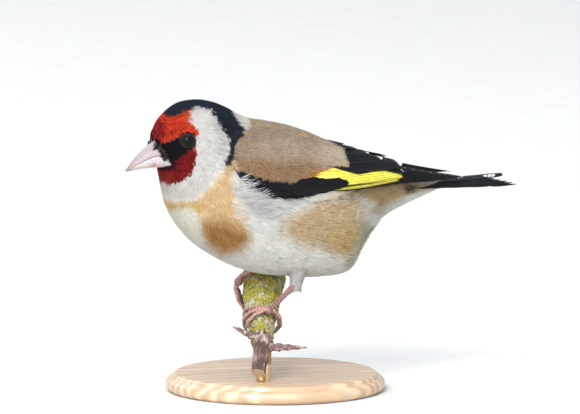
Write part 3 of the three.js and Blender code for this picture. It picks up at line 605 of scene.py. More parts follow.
# The markings, in the photograph's pixels, as outlines on the bird's left side. The right side has the same,
# mirrored. Each is laid over those before it: its colour, how soft its edge is in pixels, and its corners.
WHITE_BELLY = (0.99, 0.985, 0.90)
WHITE_FACE = (0.81, 0.795, 0.76)
MARKS = [
    ("mantle", (0.504, 0.383, 0.27), 3, [
        (205, 90), (262, 96), (300, 108), (345, 128), (356, 146), (354, 162), (346, 168), (336, 174),
        (309, 181), (294, 184), (263, 181.5), (242, 172), (227, 165), (222, 140)]),
    ("mantle_lower", (0.342, 0.209, 0.114), 9, [
        (236, 160), (262, 158), (300, 160), (320, 166), (300, 184), (263, 182), (240, 172)]),
    ("mantle_grey", (0.495, 0.392, 0.295), 12, [(262, 128), (300, 136), (310, 150), (285, 158), (256, 148)]),
    ("mantle_rear", (0.627, 0.52, 0.392), 12,
     [(318, 140), (338, 142), (352, 152), (348, 166), (330, 168), (318, 158)]),
    ("golden_tinge", (0.69, 0.47, 0.10), 4, [
        (305, 176), (312, 170), (335, 166.5), (352, 168), (352, 180), (330, 184), (312, 181)]),
    ("rump", (0.42, 0.33, 0.215), 8, [
        (352, 140), (400, 150), (420, 170), (455, 168), (455, 190), (380, 196), (356, 190), (352, 165)]),
    ("rump_white", (0.52, 0.50, 0.44), 4, [(404, 164), (452, 172), (452, 186), (420, 186), (400, 180)]),
    ("flank_buff", (0.638, 0.47, 0.277), 11, [
        (288, 215), (316, 203), (340, 195), (358, 198), (366, 226), (359, 250), (330, 251), (300, 246),
        (280, 232)]),
    ("flank_dark", (0.64, 0.46, 0.2), 8,
     [(329, 238), (345, 228), (362, 232), (360, 248), (345, 258), (330, 252)]),
    ("rear_flank", (0.476, 0.347, 0.173), 6, [
        (346, 190), (400, 183), (432, 178), (428, 188), (404, 196.5), (384, 208), (376, 215), (362, 210),
        (350, 200)]),
    ("rear_streak", (0.66, 0.61, 0.5), 3,
     [(352, 194), (364, 197), (372, 204), (380, 214), (372, 216), (360, 208)]),
    ("tail_coverts", (0.46, 0.44, 0.40), 3, [(412, 177), (452, 173), (450, 181), (420, 184.5), (408, 186)]),
    ("rear_blotch", (0.10, 0.08, 0.065), 3, [(401, 188), (408, 184), (416, 186), (414, 192), (404, 195)]),
    # The undertail's white is set brighter than white: painted light on the shaded underside beneath the tail
    ("undertail", (1.058, 1.058, 1.023), 4, [
        (372, 222), (392, 208), (412, 196), (434, 187), (470, 180), (480, 196), (420, 215), (380, 236)]),
    ("breast_side", (0.854, 0.601, 0.322), 6, [
        (243, 130), (246, 140), (240, 152), (232, 166), (231, 180), (236, 198), (246, 218), (250, 234),
        (238, 248), (222, 254), (206, 242), (200, 226), (199, 208), (196, 200), (205, 190), (215, 179),
        (224, 168), (228, 160)]),
    ("breast_centre", (0.432, 0.224, 0.076), 10,
     [(200, 224), (223, 219), (243, 229), (251, 240), (239, 251), (219, 253),
                                                 (205, 242)]),
    ("breast_upper", (0.68, 0.464, 0.258), 4,
     [(238, 130), (250, 136), (246, 156), (234, 172), (226, 170), (230, 158)]),
    ("buff_band", (0.791, 0.499, 0.158), 5,
     [(158, 199), (176, 202), (199, 200), (204, 207), (199, 214), (190, 208),
                                            (166, 211), (158, 208)]),
    ("throat_band", (0.92, 0.9, 0.76), 7,
     [(160, 210), (190, 208), (198, 226), (196, 236), (176, 232), (166, 222)]),
    ("white_flank", (0.80, 0.785, 0.75), 8, [
        (236, 180), (262, 188), (300, 198), (300, 206), (284, 216), (262, 216), (250, 210), (240, 196)]),
    ("vent_edge", (0.60, 0.60, 0.44), 5,
     [(350, 270), (357, 257), (364, 240), (372, 228), (366, 226), (352, 246),
                                          (342, 266)]),
    ("face", WHITE_FACE, 2.2, [
        (140, 100), (189.9, 96), (209, 100), (218, 118.7), (226, 132.1), (231, 139.8), (230, 151.2),
        (226, 162.7), (222, 170), (213, 179), (204, 189), (194, 197), (177.4, 198), (158, 191), (145, 178)]),
    ("throat", (0.782, 0.738, 0.669), 4,
     [(158, 178), (180, 186), (200, 180), (204, 189), (194, 197), (177, 198), (156, 190)]),
    ("nape", (0.896, 0.862, 0.795), 2,
     [(205, 94), (230, 102), (247, 112), (248.5, 126), (244, 130), (234, 118), (226, 106)]),
    ("crown", (0.018, 0.028, 0.045), 1.3, [
        (158, 112), (155, 96), (180, 86), (209, 88), (217, 100), (230, 107.5), (235.4, 117.4), (243.6, 128),
        (244.8, 136), (241.8, 147.4), (234.2, 155.1), (230.3, 162.7), (226.4, 165.4), (224.4, 162.7),
        (228.3, 151.2), (229.3, 139.8), (223.5, 132.1), (215.7, 118.7), (209, 109), (197, 106.5),
        (190, 109.5), (187, 119), (175.5, 123), (162, 124), (152, 116)]),
    ("collar_edge", (0.023, 0.031, 0.044), 2,
     [(232, 118), (240, 128), (241, 138), (237, 148), (231, 156), (232, 140)]),
    ("red_top", (0.793, 0.059, 0.024), 0.9, [
        (146, 140), (148.2, 124), (160.5, 111.2), (166.9, 117), (175.5, 115.2), (189.9, 111), (188.9, 121.6),
        (196.6, 128.3), (199.6, 133.1), (195.6, 136.5), (185.1, 134.2), (177.4, 137.6), (169.8, 142.2),
        (158.3, 144.4), (154, 139.4), (147, 139.4)]),
    ("red_fore", (0.36, 0.02, 0.022), 3,
     [(148, 138), (149, 126), (158, 118), (166, 124), (164, 136), (156, 142)]),
    ("red_orange", (0.60, 0.12, 0.03), 4, [(184, 112), (191, 110), (190, 122), (187, 124)]),
    ("red_low", (0.246, 0.012, 0.015), 1, [
        (150, 166), (156, 158), (166, 152), (180, 148), (194.6, 146.6), (196, 158.9), (192.2, 171.3),
        (185.1, 179.4), (177.4, 182.8), (168.8, 184.2), (161.1, 180), (154, 172)]),
    ("red_chin", (0.36, 0.03, 0.02), 2.5, [(155, 169), (170, 172), (178, 180), (168.8, 184), (160, 180)]),
    ("lores", (0.009, 0.009, 0.011), 1, [
        (147, 138), (155.4, 138.2), (162.1, 143), (169.8, 141.6), (178, 137), (182, 132.6), (188, 131.6),
        (194, 134), (197, 139.8), (196, 146.8), (190, 151.6), (183, 155), (177.4, 158.4), (173.2, 165.2),
        (168, 163), (158, 150), (150, 146), (146, 142)]),
    ("gape", (0.010, 0.008, 0.009), 0.8,
     [(151, 167), (174, 163.4), (174.4, 168.4), (161, 171), (152, 170.4)]),
    ("eye_streak", (0.42, 0.10, 0.035), 0.8, [(192.5, 149), (197, 145.5), (197, 149.5), (193.5, 152)]),
]


BILL_ROOT = [(138, 152), (143, 148), (149.6, 145), (156.4, 150), (163.2, 154.8), (167.8, 160.5),
             (172.3, 164.8), (165, 167), (150, 168), (138, 164)]
BILL_ROOT_DEPTH = 1.5  # mm


def inside_outline(pixels, outline, softness):
    """1 well inside a closed outline and 0 well outside, through softness pixels each way of its edge: the
    distance to the nearest side, with its sign from how often a level ray crosses the outline."""
    corners = np.array(outline, float)
    low, high = corners.min(0) - softness, corners.max(0) + softness
    near = np.all((pixels > low) & (pixels < high), -1)
    share = np.zeros(pixels.shape[:-1])
    spots = pixels[near]
    nearest = np.full(len(spots), 1e9)
    within = np.zeros(len(spots), bool)
    for a, b in zip(corners, np.roll(corners, -1, 0)):
        side = b - a
        along = np.clip(((spots - a) @ side) / (side @ side), 0, 1)
        nearest = np.minimum(nearest, np.linalg.norm(spots - a - along[:, None] * side, axis=-1))
        if a[1] != b[1]:
            crosses = (a[1] > spots[:, 1]) != (b[1] > spots[:, 1])
            within ^= crosses & (spots[:, 0] < a[0] + (spots[:, 1] - a[1]) * side[0] / side[1])
    share[near] = smoothstep(np.where(within, nearest, -nearest), -softness, softness)
    return share


def pixels_of(points):
    """Where points of the bird's left side show in the photograph: their distances right of and above the
    aim, over the scale there, which grows as they come nearer to the camera."""
    from_aim = points + BODY_CENTRE - aim
    scale = MM_PER_PIXEL * (1 - from_aim @ view_back / camera_distance)
    return np.stack((PHOTO_SIZE[0] / 2 + from_aim @ view_right / scale,
                     PHOTO_SIZE[1] / 2 - from_aim @ view_up / scale), -1)


# The shanks, each from a knee in the belly's plumage to the ankle: side, knee and ankle
SHANKS = [(-1, (-2.8, -8.4, -17), (-3.7, -8, -25)), (1, (-6, 9.4, -12), (-12.2, 9.6, -20.4))]
SHANK_TOP, SHANK_BOTTOM = 3.6, 1.75
SHANK_DEPTH = 0.6
SHANK_WHITE = (0.66, 0.64, 0.62)


def shank_surface(p, q, knee, ankle, height=0.0):
    """The plumage's outer face on a shank: a straight tube from knee (p = 0) to ankle (p = 1), whose radius
    narrows by a smooth S, with q the turn round it."""
    knee, ankle = np.array(knee, float), np.array(ankle, float)
    ahead = unit(ankle - knee)
    over = unit(np.cross(ahead, (0.0, 1.0, 0.0)))
    across = np.cross(ahead, over)
    reach = mixed(SHANK_TOP, SHANK_BOTTOM, smoothstep(p, 0.1, 1.05)) + height
    middle = mixed(knee, ankle, p[..., None])
    return middle + (np.cos(q)[..., None] * over + np.sin(q)[..., None] * across) * reach[..., None]


def plumage_colours(points, ragged=0.0):
    """The colours of the plumage at points of the left side: the markings in turn, their edges moved about
    by ragged pixels, with soft mottling."""
    pixels = pixels_of(points)
    if ragged:
        shift = np.stack([smooth_noise(points, 0.5, seed) - 0.5 for seed in (41, 42)], -1)
        pixels = pixels + shift * 2 * ragged
    colours = np.broadcast_to(np.array(WHITE_BELLY), points.shape).copy()
    for name, colour, softness, outline in MARKS:
        share = inside_outline(pixels, outline, softness)[..., None]
        colours = mixed(colours, colour, share)
    mottling = 0.9 + 0.2 * smooth_noise(points, 1.6, 51) * smooth_noise(points, 4.0, 52) ** 0.5
    redness = smoothstep(colours[..., 0] - 8 * colours[..., 1], 0.0, 0.2)
    flecks = smoothstep(smooth_noise(points, 0.42, 54), 0.52, 0.8)
    return colours * (mottling * (1 - 0.62 * redness * flecks))[..., None]


def left_twin(turn):
    """The same turn on the bird's left side, where the markings are laid out."""
    wrapped = (turn + np.pi) % (2 * np.pi) - np.pi
    return -np.abs(wrapped)


plumage, tree, shader = finish("plumage", roughness=0.8, Specular__IOR__Level=0.08)
place = object_place(tree)
painted = own_colour(tree)
barbs = node(tree, "TexNoise", Vector=place, Scale=5200, Detail=3, Roughness=0.6)
tree.links.new(tinted(tree, painted, barbs.outputs["Fac"],
                      [(0.3, (0.86, 0.86, 0.86)), (0.7, (1.06, 1.06, 1.06))]), shader.inputs["Base Color"])
bumped(tree, shader, barbs.outputs["Fac"], 0.00004, 0.4)

t_grid, turn_grid = np.meshgrid(np.linspace(0, LAST_SLICE, SKIN_STEPS),
                                full_turn(SKIN_SIDES), indexing="ij")
outer, slope_t, slope_turn = surface_slopes(body_surface, t_grid, turn_grid)
outward = unit(np.cross(slope_turn, slope_t))
at_bill = inside_outline(pixels_of(body_surface(t_grid, left_twin(turn_grid))), BILL_ROOT,
                         0.8) * (t_grid > 13)
skin_grid = outer - outward * (coat_depth(t_grid) + 0.1 + BILL_ROOT_DEPTH * at_bill)[..., None]
ends = [[ring.mean(0) + (ring - ring.mean(0)) * share for share in (0.8, 0.5, 0.2, 0.002)]
        for ring in (skin_grid[0], skin_grid[-1])]
skin_rows = np.concatenate([ends[0][::-1], skin_grid, ends[1]])
paint = plumage_colours(body_surface(t_grid, left_twin(turn_grid))) * SKIN_TONE
skin_paint = np.concatenate([np.repeat(paint[:1], 4, 0), paint, np.repeat(paint[-1:], 4, 0)])
skin_map = np.stack(np.broadcast_arrays(turn_grid / (2 * np.pi), t_grid / LAST_SLICE), -1)
skin_map = np.concatenate([np.repeat(skin_map[:1], 4, 0), skin_map, np.repeat(skin_map[-1:], 4, 0)])
skin_points = [skin_rows.reshape(-1, 3)]
skin_faces = [quads_of(len(skin_rows), SKIN_SIDES, closed=True)]
skin_colours = [skin_paint.reshape(-1, 3)]
for side, knee, ankle in SHANKS:
    p_grid, q_grid = np.meshgrid(np.linspace(-0.1, 1.22, 40), full_turn(32),
                                 indexing="ij")
    rings = shank_surface(p_grid, q_grid, knee, ankle, -SHANK_DEPTH)
    rings = np.concatenate(([mixed(rings[0].mean(0), rings[0], 0.002)], rings,
                            [mixed(rings[-1].mean(0), rings[-1], 0.002)]))
    skin_faces.append(quads_of(len(rings), 32, closed=True, first=sum(len(p) for p in skin_points)))
    skin_points.append(rings.reshape(-1, 3))
    skin_colours.append(np.broadcast_to(np.array(SHANK_WHITE) * SKIN_TONE, (rings.size // 3, 3)))
body_skin = add_piece("body_skin", np.concatenate(skin_points), skin_faces, plumage, "plumage",
                      np.concatenate(skin_colours))
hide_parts("head", "neck", "torso", "thigh_left", "thigh_right")


# The body plumage: some fifteen thousand small contour feathers, each a fan of slim barbs about its shaft.
# They start under the skin, lie over one another towards the tail, and are shortest round the bill.
EYE_AT = np.array((-40.3, 8.1, 21.52))
EYE_PLACES = [turned_head(EYE_AT * (1, side, 1), np.array(float(LAST_SLICE))) for side in (-1, 1)]
EYE_CLEARANCE = 2.95  # mm from an eye's middle to the nearest feather's root
# For each region: its slices from and to, its feathers, the barbs of each, the barbs' width in mm, and how
# far a feather's barbs spread and its lie strays, in radians
COAT_REGIONS = {
    "plumage_face": (13.2, 17.45, 3900, 9, 0.15, 0.36, 0.12),
    "plumage_head": (10.9, 13.2, 3000, 10, 0.18, 0.34, 0.10),
    "plumage_neck": (9.0, 10.9, 2500, 13, 0.20, 0.26, 0.09),
    "plumage_breast": (7.1, 9.0, 2300, 13, 0.22, 0.20, 0.08),
    "plumage_belly": (4.2, 7.1, 2200, 13, 0.24, 0.18, 0.07),
    "plumage_rear": (-0.3, 4.2, 2100, 13, 0.24, 0.22, 0.10),
}
FEATHER_LENGTH = [(0, 7.5), (2, 7), (4.5, 6.5), (7, 5.6), (9, 4.4), (10.5, 3.2), (12, 2.3), (14, 1.8),
                  (16, 1.3), (17, 1.0)]
# How far the feathers' lie turns down from straight back along the body's slices, in degrees at the side
SIDE_LIE = [(0, -4), (3, 0), (5, 2), (6.5, 6), (8, 20), (9.2, 26), (10.5, 22), (12, 20), (14, 16), (17, 0)]
BARB_CORNERS = 5  # root, left, right, ridge and tip
BARB_FACES = np.array([(0, 3, 1), (0, 2, 3), (0, 1, 2), (4, 1, 3), (4, 3, 2), (4, 2, 1)])


def scattered(count, weights, p_values, q_values):
    """count places spread evenly by weight over a grid: the two golden-ratio sequences run through the
    summed weights of the rows, and then of the cells of the row."""
    step = np.arange(1, count + 1)
    first, second = (step * 0.7548776662) % 1, (step * 0.5698402910) % 1
    rows = np.concatenate(([0], np.cumsum(weights.sum(1))))
    at_row = np.interp(first, rows / rows[-1], np.arange(len(rows)))
    row = np.minimum(at_row.astype(int), len(weights) - 1)
    cells = np.concatenate((np.zeros((len(weights), 1)), np.cumsum(weights, 1)), 1)
    cells /= np.maximum(cells[:, -1:], 1e-12)
    cell = np.clip((cells[row] <= second[:, None]).sum(1) - 1, 0, weights.shape[1] - 1)
    low, high = cells[row, cell], cells[row, cell + 1]
    share = (second - low) / np.maximum(high - low, 1e-12)
    return (np.interp(at_row, np.arange(len(p_values)), p_values),
            np.interp(cell + share, np.arange(len(q_values)), q_values))


def feathers_over(surface, twin, p, q, facing, back, down, length, lie, barbs, width, depth, lift, draw,
                  spread=0.42, stray=0.12):
    """Feathers rooted at (p, q) of a surface whose normal is facing times the slopes' cross product. back
    and down give the signs of the two parameters towards the tail and the belly. A feather's barbs leave
    its shaft at angles up to spread, each a closed sliver of six faces over root, middle and tip places,
    which climb from depth under the surface to lift over it. Returns the barbs' corners, the places on the
    left side that give their colours, and their places on the surface's own unwrap."""
    count = len(p)
    place, slope_p, slope_q = surface_slopes(surface, p, q)
    tail_way = unit(slope_p * back)
    normal = unit(np.cross(slope_q, slope_p)) * facing
    side_way = unit(slope_q * down[:, None] - tail_way * np.sum(slope_q * down[:, None] * tail_way, -1)[:,
                                                                                                        None])
    turn = lie + draw.normal(0, stray, count)
    ahead = np.cos(turn)[:, None] * tail_way + np.sin(turn)[:, None] * side_way
    across = np.cross(normal, ahead)
    # One row for each feather and one column for each of its barbs
    fan = (np.arange(barbs) + 0.5) / barbs * 2 - 1 + draw.uniform(-0.8, 0.8, (count, barbs)) / barbs
    size = length[:, None]
    start = size * (0.04 + 0.34 * (1 - np.abs(fan)) * draw.random((count, barbs)))
    reach = size * (1 - 0.22 * fan ** 2) * draw.uniform(0.78, 1.0, (count, barbs)) - start
    stations = []
    for way, bend, rise in ((0.0, 1.0, -1.0), (0.52, 1.1, -0.42), (1.0, 0.82, 0.0)):
        angle = fan * spread * bend
        x = start + reach * way * np.cos(angle)
        y = reach * way * np.sin(angle) + fan * width * 0.8
        stations.append((x, y, rise))
    e = np.sum(slope_p * slope_p, -1)[:, None]
    f = np.sum(slope_p * slope_q, -1)[:, None]
    g = np.sum(slope_q * slope_q, -1)[:, None]
    corners = []
    p_now, q_now = [], []
    for x, y, rise in stations:
        move = x[..., None] * ahead[:, None] + y[..., None] * across[:, None]
        along_p = np.sum(move * slope_p[:, None], -1)
        along_q = np.sum(move * slope_q[:, None], -1)
        fixed = np.maximum(e * g - f * f, 1e-9)
        p_here = p[:, None] + (g * along_p - f * along_q) / fixed
        q_here = q[:, None] + (e * along_q - f * along_p) / fixed
        p_now.append(p_here)
        q_now.append(q_here)
        height = rise * depth[:, None] + (1 + rise) * lift[:, None]
        height = height + (1 + rise) * depth[:, None] * draw.uniform(-0.16, 0.04, (count, barbs))
        here, here_p, here_q = surface_slopes(surface, p_here, q_here)
        up = unit(np.cross(here_q, here_p)) * facing
        corners.append((here + up * height[..., None], up))
    (root, _), (middle, up), (tip, _) = corners
    line = unit(tip - root)
    side = unit(np.cross(up, line))
    thick = width * draw.uniform(0.7, 1.25, (count, barbs, 1))
    barb = np.stack((root, middle + side * thick / 2, middle - side * thick / 2, middle + up * thick * 0.16,
                     tip), 2)
    seen = twin(p_now[0] * 0.35 + p_now[2] * 0.65, q_now[0] * 0.35 + q_now[2] * 0.65)
    patch = np.zeros((count, barbs, BARB_CORNERS, 2))
    patch[..., 0] = np.array((-1, 0, 0, 0.2, 1)) * 0.0013
    patch[..., 1] = (fan[..., None] * 0.8 + np.array((0, 0.2, -0.2, 0, 0))) * 0.0013
    return barb, seen, patch


BARB_TONE = 0.56  # the share of a marking's brightness that a barb has, chosen by trial


def shade_barbs(paint, draw, contrast=0.15, fringe=0.16, root=0.6):
    """The barbs' corner colours from one colour for each: feathers and barbs vary a little in brightness,
    those of a feather's rim are paler than those about its shaft, and a barb is darker at its root, both for
    the grey base that real feathers have and as painted shade where it runs under the feathers over it. The
    ridge on a barb's top is painted lighter than its sides, a painted highlight. White varies least, and
    nothing is brighter than 0.9."""
    count, barbs = paint.shape[:2]
    rim = np.abs((np.arange(barbs) + 0.5) / barbs * 2 - 1) - 0.5
    light = (draw.normal(0, contrast * 0.5, (count, 1)) + draw.normal(0, contrast, (count, barbs))
             + fringe * rim) * (1.5 - paint.mean(-1))
    # Painted shade at a barb's root, and a painted highlight on its top ridge, lighter than its sides at the
    # same place along it
    along = BARB_TONE * mixed(root, 1.06, np.array((0, 0.55, 0.55, 0.75, 1)))
    return np.minimum((paint * np.clip(1 + light, 0.5, 1.5)[..., None])[:, :, None, :] * along[:, None], 0.9)


def add_barbs(name, barb, colours, places):
    """A piece of plumage from its barbs' corners, their colours, and their places on the surface's unwrap.
    Its faces are flat, so that the light falls on each one by its own lie."""
    count = barb.size // (3 * BARB_CORNERS)
    faces = BARB_FACES[None] + (np.arange(count) * BARB_CORNERS)[:, None, None]
    return add_piece(name, barb.reshape(-1, 3), [faces.reshape(-1, 3)], plumage, "plumage",
                     colours.reshape(-1, 3), {"OFBake": places.reshape(-1, 2)}, smooth=False)


def body_twin(t, turn):
    return body_surface(t, left_twin(turn))


def body_map(t, turn):
    """The unwrap of the skin: once round it from the back line, and along it from tail to bill."""
    return np.stack(((turn / (2 * np.pi)) % 1, (t + 1) / (LAST_SLICE + 2)), -1)


def under_wing(t, turn):
    """1 where a folded wing hides the body's side, where no feather is needed."""
    place = body_surface(t, turn)
    angle = np.abs((turn + np.pi) % (2 * np.pi) - np.pi)
    return ((place[..., 0] > -19) & (place[..., 0] < 22) & (angle > np.radians(34))
            & (angle < np.radians(mixed(80, 68, smoothstep(place[..., 0], -5, 15))))).astype(float)


SHOULDER_LIFT = 0.8  # mm by which the feathers before the wing rise, to lie over its front
FLUFF = 1.1  # mm by which the loosest feathers round the vent stand out


def before_wing(t, turn):
    """1 just in front of the folded wing, half along its upper edge, and 0 elsewhere, with soft ends."""
    x = body_surface(t, turn)[..., 0]
    angle = np.degrees(np.abs((turn + np.pi) % (2 * np.pi) - np.pi))
    front = (smoothstep(x, -34, -31) * smoothstep(x, -26, -28.5)
             * smoothstep(angle, 20, 36) * smoothstep(angle, 76, 64))
    edge = (smoothstep(x, -26, -22) * smoothstep(x, 12, 6)
            * smoothstep(angle, 10, 20) * smoothstep(angle, 36, 30))
    return np.maximum(front, 0.5 * edge)


for seed, (name, (t_from, t_to, count, barbs, width, spread, stray)) in enumerate(COAT_REGIONS.items()):
    draw = np.random.default_rng(100 + seed)
    p_values, q_values = np.linspace(t_from, t_to, 60), np.linspace(0, 2 * np.pi, 145)
    p_mid = (p_values[:-1] + p_values[1:]) / 2
    q_mid = (q_values[:-1] + q_values[1:]) / 2
    p_mesh, q_mesh = np.meshgrid(p_mid, q_mid, indexing="ij")
    _, slope_p, slope_q = surface_slopes(body_surface, p_mesh, q_mesh)
    area = np.linalg.norm(np.cross(slope_p, slope_q), axis=-1)
    weights = area / np.interp(p_mesh, *zip(*FEATHER_LENGTH)) ** 1.2 * (1 - under_wing(p_mesh, q_mesh))
    p, q = scattered(count, weights, p_values, q_values)
    roots = body_surface(p, q)
    clear = np.all([np.linalg.norm(roots - eye, axis=-1) > EYE_CLEARANCE for eye in EYE_PLACES], 0)
    clear &= inside_outline(pixels_of(body_twin(p, q)), BILL_ROOT, 0.3) * (p > 13) < 0.5
    p, q = p[clear], q[clear]
    count = len(p)
    down = np.sign(np.sin(q)) + (np.sin(q) == 0)
    length = np.interp(p, *zip(*FEATHER_LENGTH)) * draw.uniform(0.85, 1.15, count)
    lie = np.radians(np.interp(p, *zip(*SIDE_LIE))) * np.abs(np.sin(q)) ** 0.7
    fluff = FLUFF * smoothstep(-np.cos(q), 0.2, 0.7) * smoothstep(p, 1.6, 3) * smoothstep(p, 5.2, 4)
    lift = 0.02 * length + SHOULDER_LIFT * before_wing(p, q) + fluff * draw.random(count)
    barb, seen, patch = feathers_over(
        body_surface, body_twin, p, q, 1, -1, down, length, lie, barbs, width, coat_depth(p), lift, draw,
        spread, stray)
    colours = shade_barbs(plumage_colours(seen, 2.6 if t_from > 9 else 1.4), draw,
                          0.14 if t_from < 9 else 0.12)
    add_barbs(name, barb, colours, body_map(p, q)[:, None, None, :] + patch)


# The bristles over the nostrils: short stiff black and grey-brown hairs that point forward over the bill's
# root.
draw = np.random.default_rng(150)
BRISTLE_AREA = [(147, 139), (154, 138), (164, 147), (171, 157), (167, 160), (158, 151), (150, 146),
                (145, 146)]
BRISTLE_BARBS, BRISTLE_WIDTH = 4, 0.11
p, q = draw.uniform(14.8, 17.2, 3000), draw.uniform(0, 2 * np.pi, 3000)
rooted = inside_outline(pixels_of(body_twin(p, q)), BRISTLE_AREA, 0.5) > 0.5
p, q = p[rooted], q[rooted]
BRISTLES = len(p)
length = draw.uniform(1.2, 2.4, BRISTLES)
barb, seen, patch = feathers_over(
    body_surface, body_twin, p, q, 1, 1, np.sign(np.sin(q)), length,
    np.radians(draw.uniform(0, 35, BRISTLES)), BRISTLE_BARBS, BRISTLE_WIDTH, np.full(BRISTLES, 0.3),
    draw.uniform(0.2, 0.9, BRISTLES), draw, spread=0.25)
bristle_tone = draw.random((BRISTLES, 1, 1)) ** 2
paint = mixed(np.array((0.010, 0.009, 0.009)), np.array((0.14, 0.10, 0.085)), bristle_tone) + 0 * seen
add_barbs("nasal_bristles", barb, shade_barbs(paint, draw), body_map(p, q)[:, None, None, :] + patch)


# The wings: folded, with their flight feathers and coverts in tiers, each feather a thin curved vane on its
# quill that tapers from a rounded root to its tip. They are black, with yellow bases that make the long
# yellow panel, and white tips. A fleshy forearm, hidden under the plumage, carries them.
# The surface they lie on: at each x its half width, its top and its middle height
WING_ROWS = np.array([
    (-30, 15.2, 26.2, 8), (-20, 18.6, 25.2, 5.5), (-10, 20.4, 23.6, 3.6), (0, 20.5, 21.3, 3),
    (10, 18.7, 17.5, 3.2), (20, 15.3, 14.4, 4), (30, 11.6, 11.9, 4.6), (40, 8.8, 9.4, 5),
    (52, 6.6, 7.4, 5.2)])
# Each tier, outermost or lowest feather first: how many, its first and last root and tip as (x, degrees from
# the back line), how fast the tips fall back, first and last width and height over the surface, and how
# blunt its tips are
WING_TIERS = {
    "primary": (9, ((-6, 79), (0, 74)), ((50.5, 64), (31, 48)), 1.4, (4.4, 6.2), (0, 1.2), 5),
    "secondary": (6, ((0, 72), (5, 56)), ((30.5, 56), (26.5, 41)), 1, (6, 6.8), (1.3, 1.8), 9),
    "tertial": (4, ((3, 55), (6, 28)), ((30.5, 38), (16, 12)), 0.75, (8.4, 6.4), (1.9, 1.3), 8),
    "alula": (3, ((-16, 85), (-13, 80)), ((1, 79.5), (6, 76)), 1, (3.4, 3.8), (1.2, 1.6), 6),
    "greater_covert": (8, ((-8, 76), (-1, 46)), ((7, 70), (13, 42)), 1, (4.8, 5.6), (1.9, 2.3), 8),
    "primary_covert": (6, ((-10, 82), (-7, 75)), ((5, 78), (9.8, 73.5)), 1, (3.6, 3.9), (1.7, 2.5), 9),
}
VANE_ROWS = 34
VANE_SHARES = np.array((-1, -0.82, -0.6, -0.35, -0.12, 0, 0.12, 0.35, 0.6, 0.82, 1))
VANE_BLACK = (0.006, 0.007, 0.008)
VANE_EDGE = (0.030, 0.027, 0.024)
VANE_WHITE = (0.74, 0.73, 0.70)
WING_YELLOW = (0.84, 0.79, 0.13)
YELLOW_DEEP = (0.76, 0.58, 0.03)
YELLOW_PANEL = [(318, 172), (335, 166), (347.5, 168), (351, 173), (360, 175), (373, 171.8), (384.5, 171),
                (401, 175), (402, 177.6), (392, 180.4), (378, 182), (345, 185), (330, 186), (312, 184)]
YELLOW_STREAK = [(333, 190.4), (346, 187.2), (376, 183.4), (398, 179.6), (396, 181.2), (372, 186), (352, 189)]


def wing_surface(x, turn, side, height=0.0):
    """The folded wing's face at x: an upright ellipse about the middle height, at turn from its top, moved
    out by height along the ellipse's normal."""
    t = np.interp(x, WING_ROWS[:, 0], np.arange(len(WING_ROWS)))
    half, top, middle = (along_list(WING_ROWS[:, k], t) for k in (1, 2, 3))
    rise = top - middle
    out_y, out_z = np.sin(turn) * rise, np.cos(turn) * half
    size = np.hypot(out_y, out_z)
    return np.stack(np.broadcast_arrays(
        x, side * (half * np.sin(turn) + out_y / size * height),
        middle + rise * np.cos(turn) + out_z / size * height), -1)


def vane_width(t, width, point):
    """A feather's width: a narrow quill that widens at once, then a rounded tip by a power of the way."""
    return width * np.minimum(1, 0.35 + 2.6 * t) * np.sqrt(np.maximum(0.004, 1 - t ** point))


def vane(spine, facing, width, point, tilt, lean, draw, thick=0.2):
    """A closed plate about a shaft: at t along it and share across it, the shaft's place plus share times
    half the width, sunk by a tilt and by a camber that goes with the distance squared. The shaft stands up
    as a ridge, lean moves it towards one edge, and the edges have a few splits. Returns the points, each
    one's (t, share), and a map of where the barbs run."""
    t = 1 - (1 - np.linspace(0, 1, VANE_ROWS)) ** 1.3
    shaft = spine(t)
    ahead = unit(spine(np.minimum(1, t + 0.02)) - spine(np.maximum(0, t - 0.02)))
    across = unit(np.cross(ahead, facing(t)))
    out = np.cross(across, ahead)
    half = vane_width(t, width, point) / 2
    share = VANE_SHARES[None, :] - lean * (1 - VANE_SHARES[None, :] ** 2)
    edge = np.ones((VANE_ROWS, len(VANE_SHARES)))
    for _ in range(3):
        split = draw.uniform(0.3, 0.96)
        deep = draw.uniform(0.05, 0.22) * np.exp(-((t - split) / draw.uniform(0.008, 0.016)) ** 2)
        sign = draw.choice((-1, 1))
        edge -= deep[:, None] * smoothstep(sign * VANE_SHARES, 0.5, 1)[None, :]
    edge -= 0.02 * draw.random((VANE_ROWS, 1)) * np.abs(VANE_SHARES) ** 6
    place = half[:, None] * share * edge
    sink = -share * tilt - place ** 2 * 0.03 + 0.03 * np.sin(t * 40 + lean * 9)[:, None] * np.abs(share) ** 3
    ridge = 0.10 * (np.abs(VANE_SHARES) < 0.01) * (1 - 0.7 * t[:, None])
    half_thick = thick / 2 * (1 - 0.6 * np.abs(VANE_SHARES) ** 2)[None, :]
    middle = shaft[:, None] + across[:, None] * place[..., None]
    upper = middle + out[:, None] * (sink + half_thick + ridge)[..., None]
    lower = middle + out[:, None] * (sink - half_thick)[..., None]
    length = np.linalg.norm(shaft[-1] - shaft[0])
    both = np.stack(np.broadcast_arrays(t[:, None], VANE_SHARES[None, :]), -1)
    barbs = np.stack((t[:, None] * length - 0.9 * np.abs(place), place), -1) / 10
    return (np.concatenate((upper, lower)).reshape(-1, 3), np.concatenate((both, both)).reshape(-1, 2),
            np.concatenate((barbs, barbs)).reshape(-1, 2))


def plate_faces(rows, columns, turned):
    """The faces of a closed plate over two grids of points: both grids and the wall round their rim."""
    top = quads_of(rows, columns)
    under = rows * columns
    index = np.arange(under).reshape(rows, columns)
    rim = np.concatenate((index[0, :-1], index[:-1, -1], index[-1, :0:-1], index[:0:-1, 0]))
    after = np.roll(rim, -1)
    wall = np.stack((after, rim, rim + under, after + under), -1)
    faces = np.concatenate((top, top[:, ::-1] + under, wall))
    return faces[:, ::-1] if turned else faces


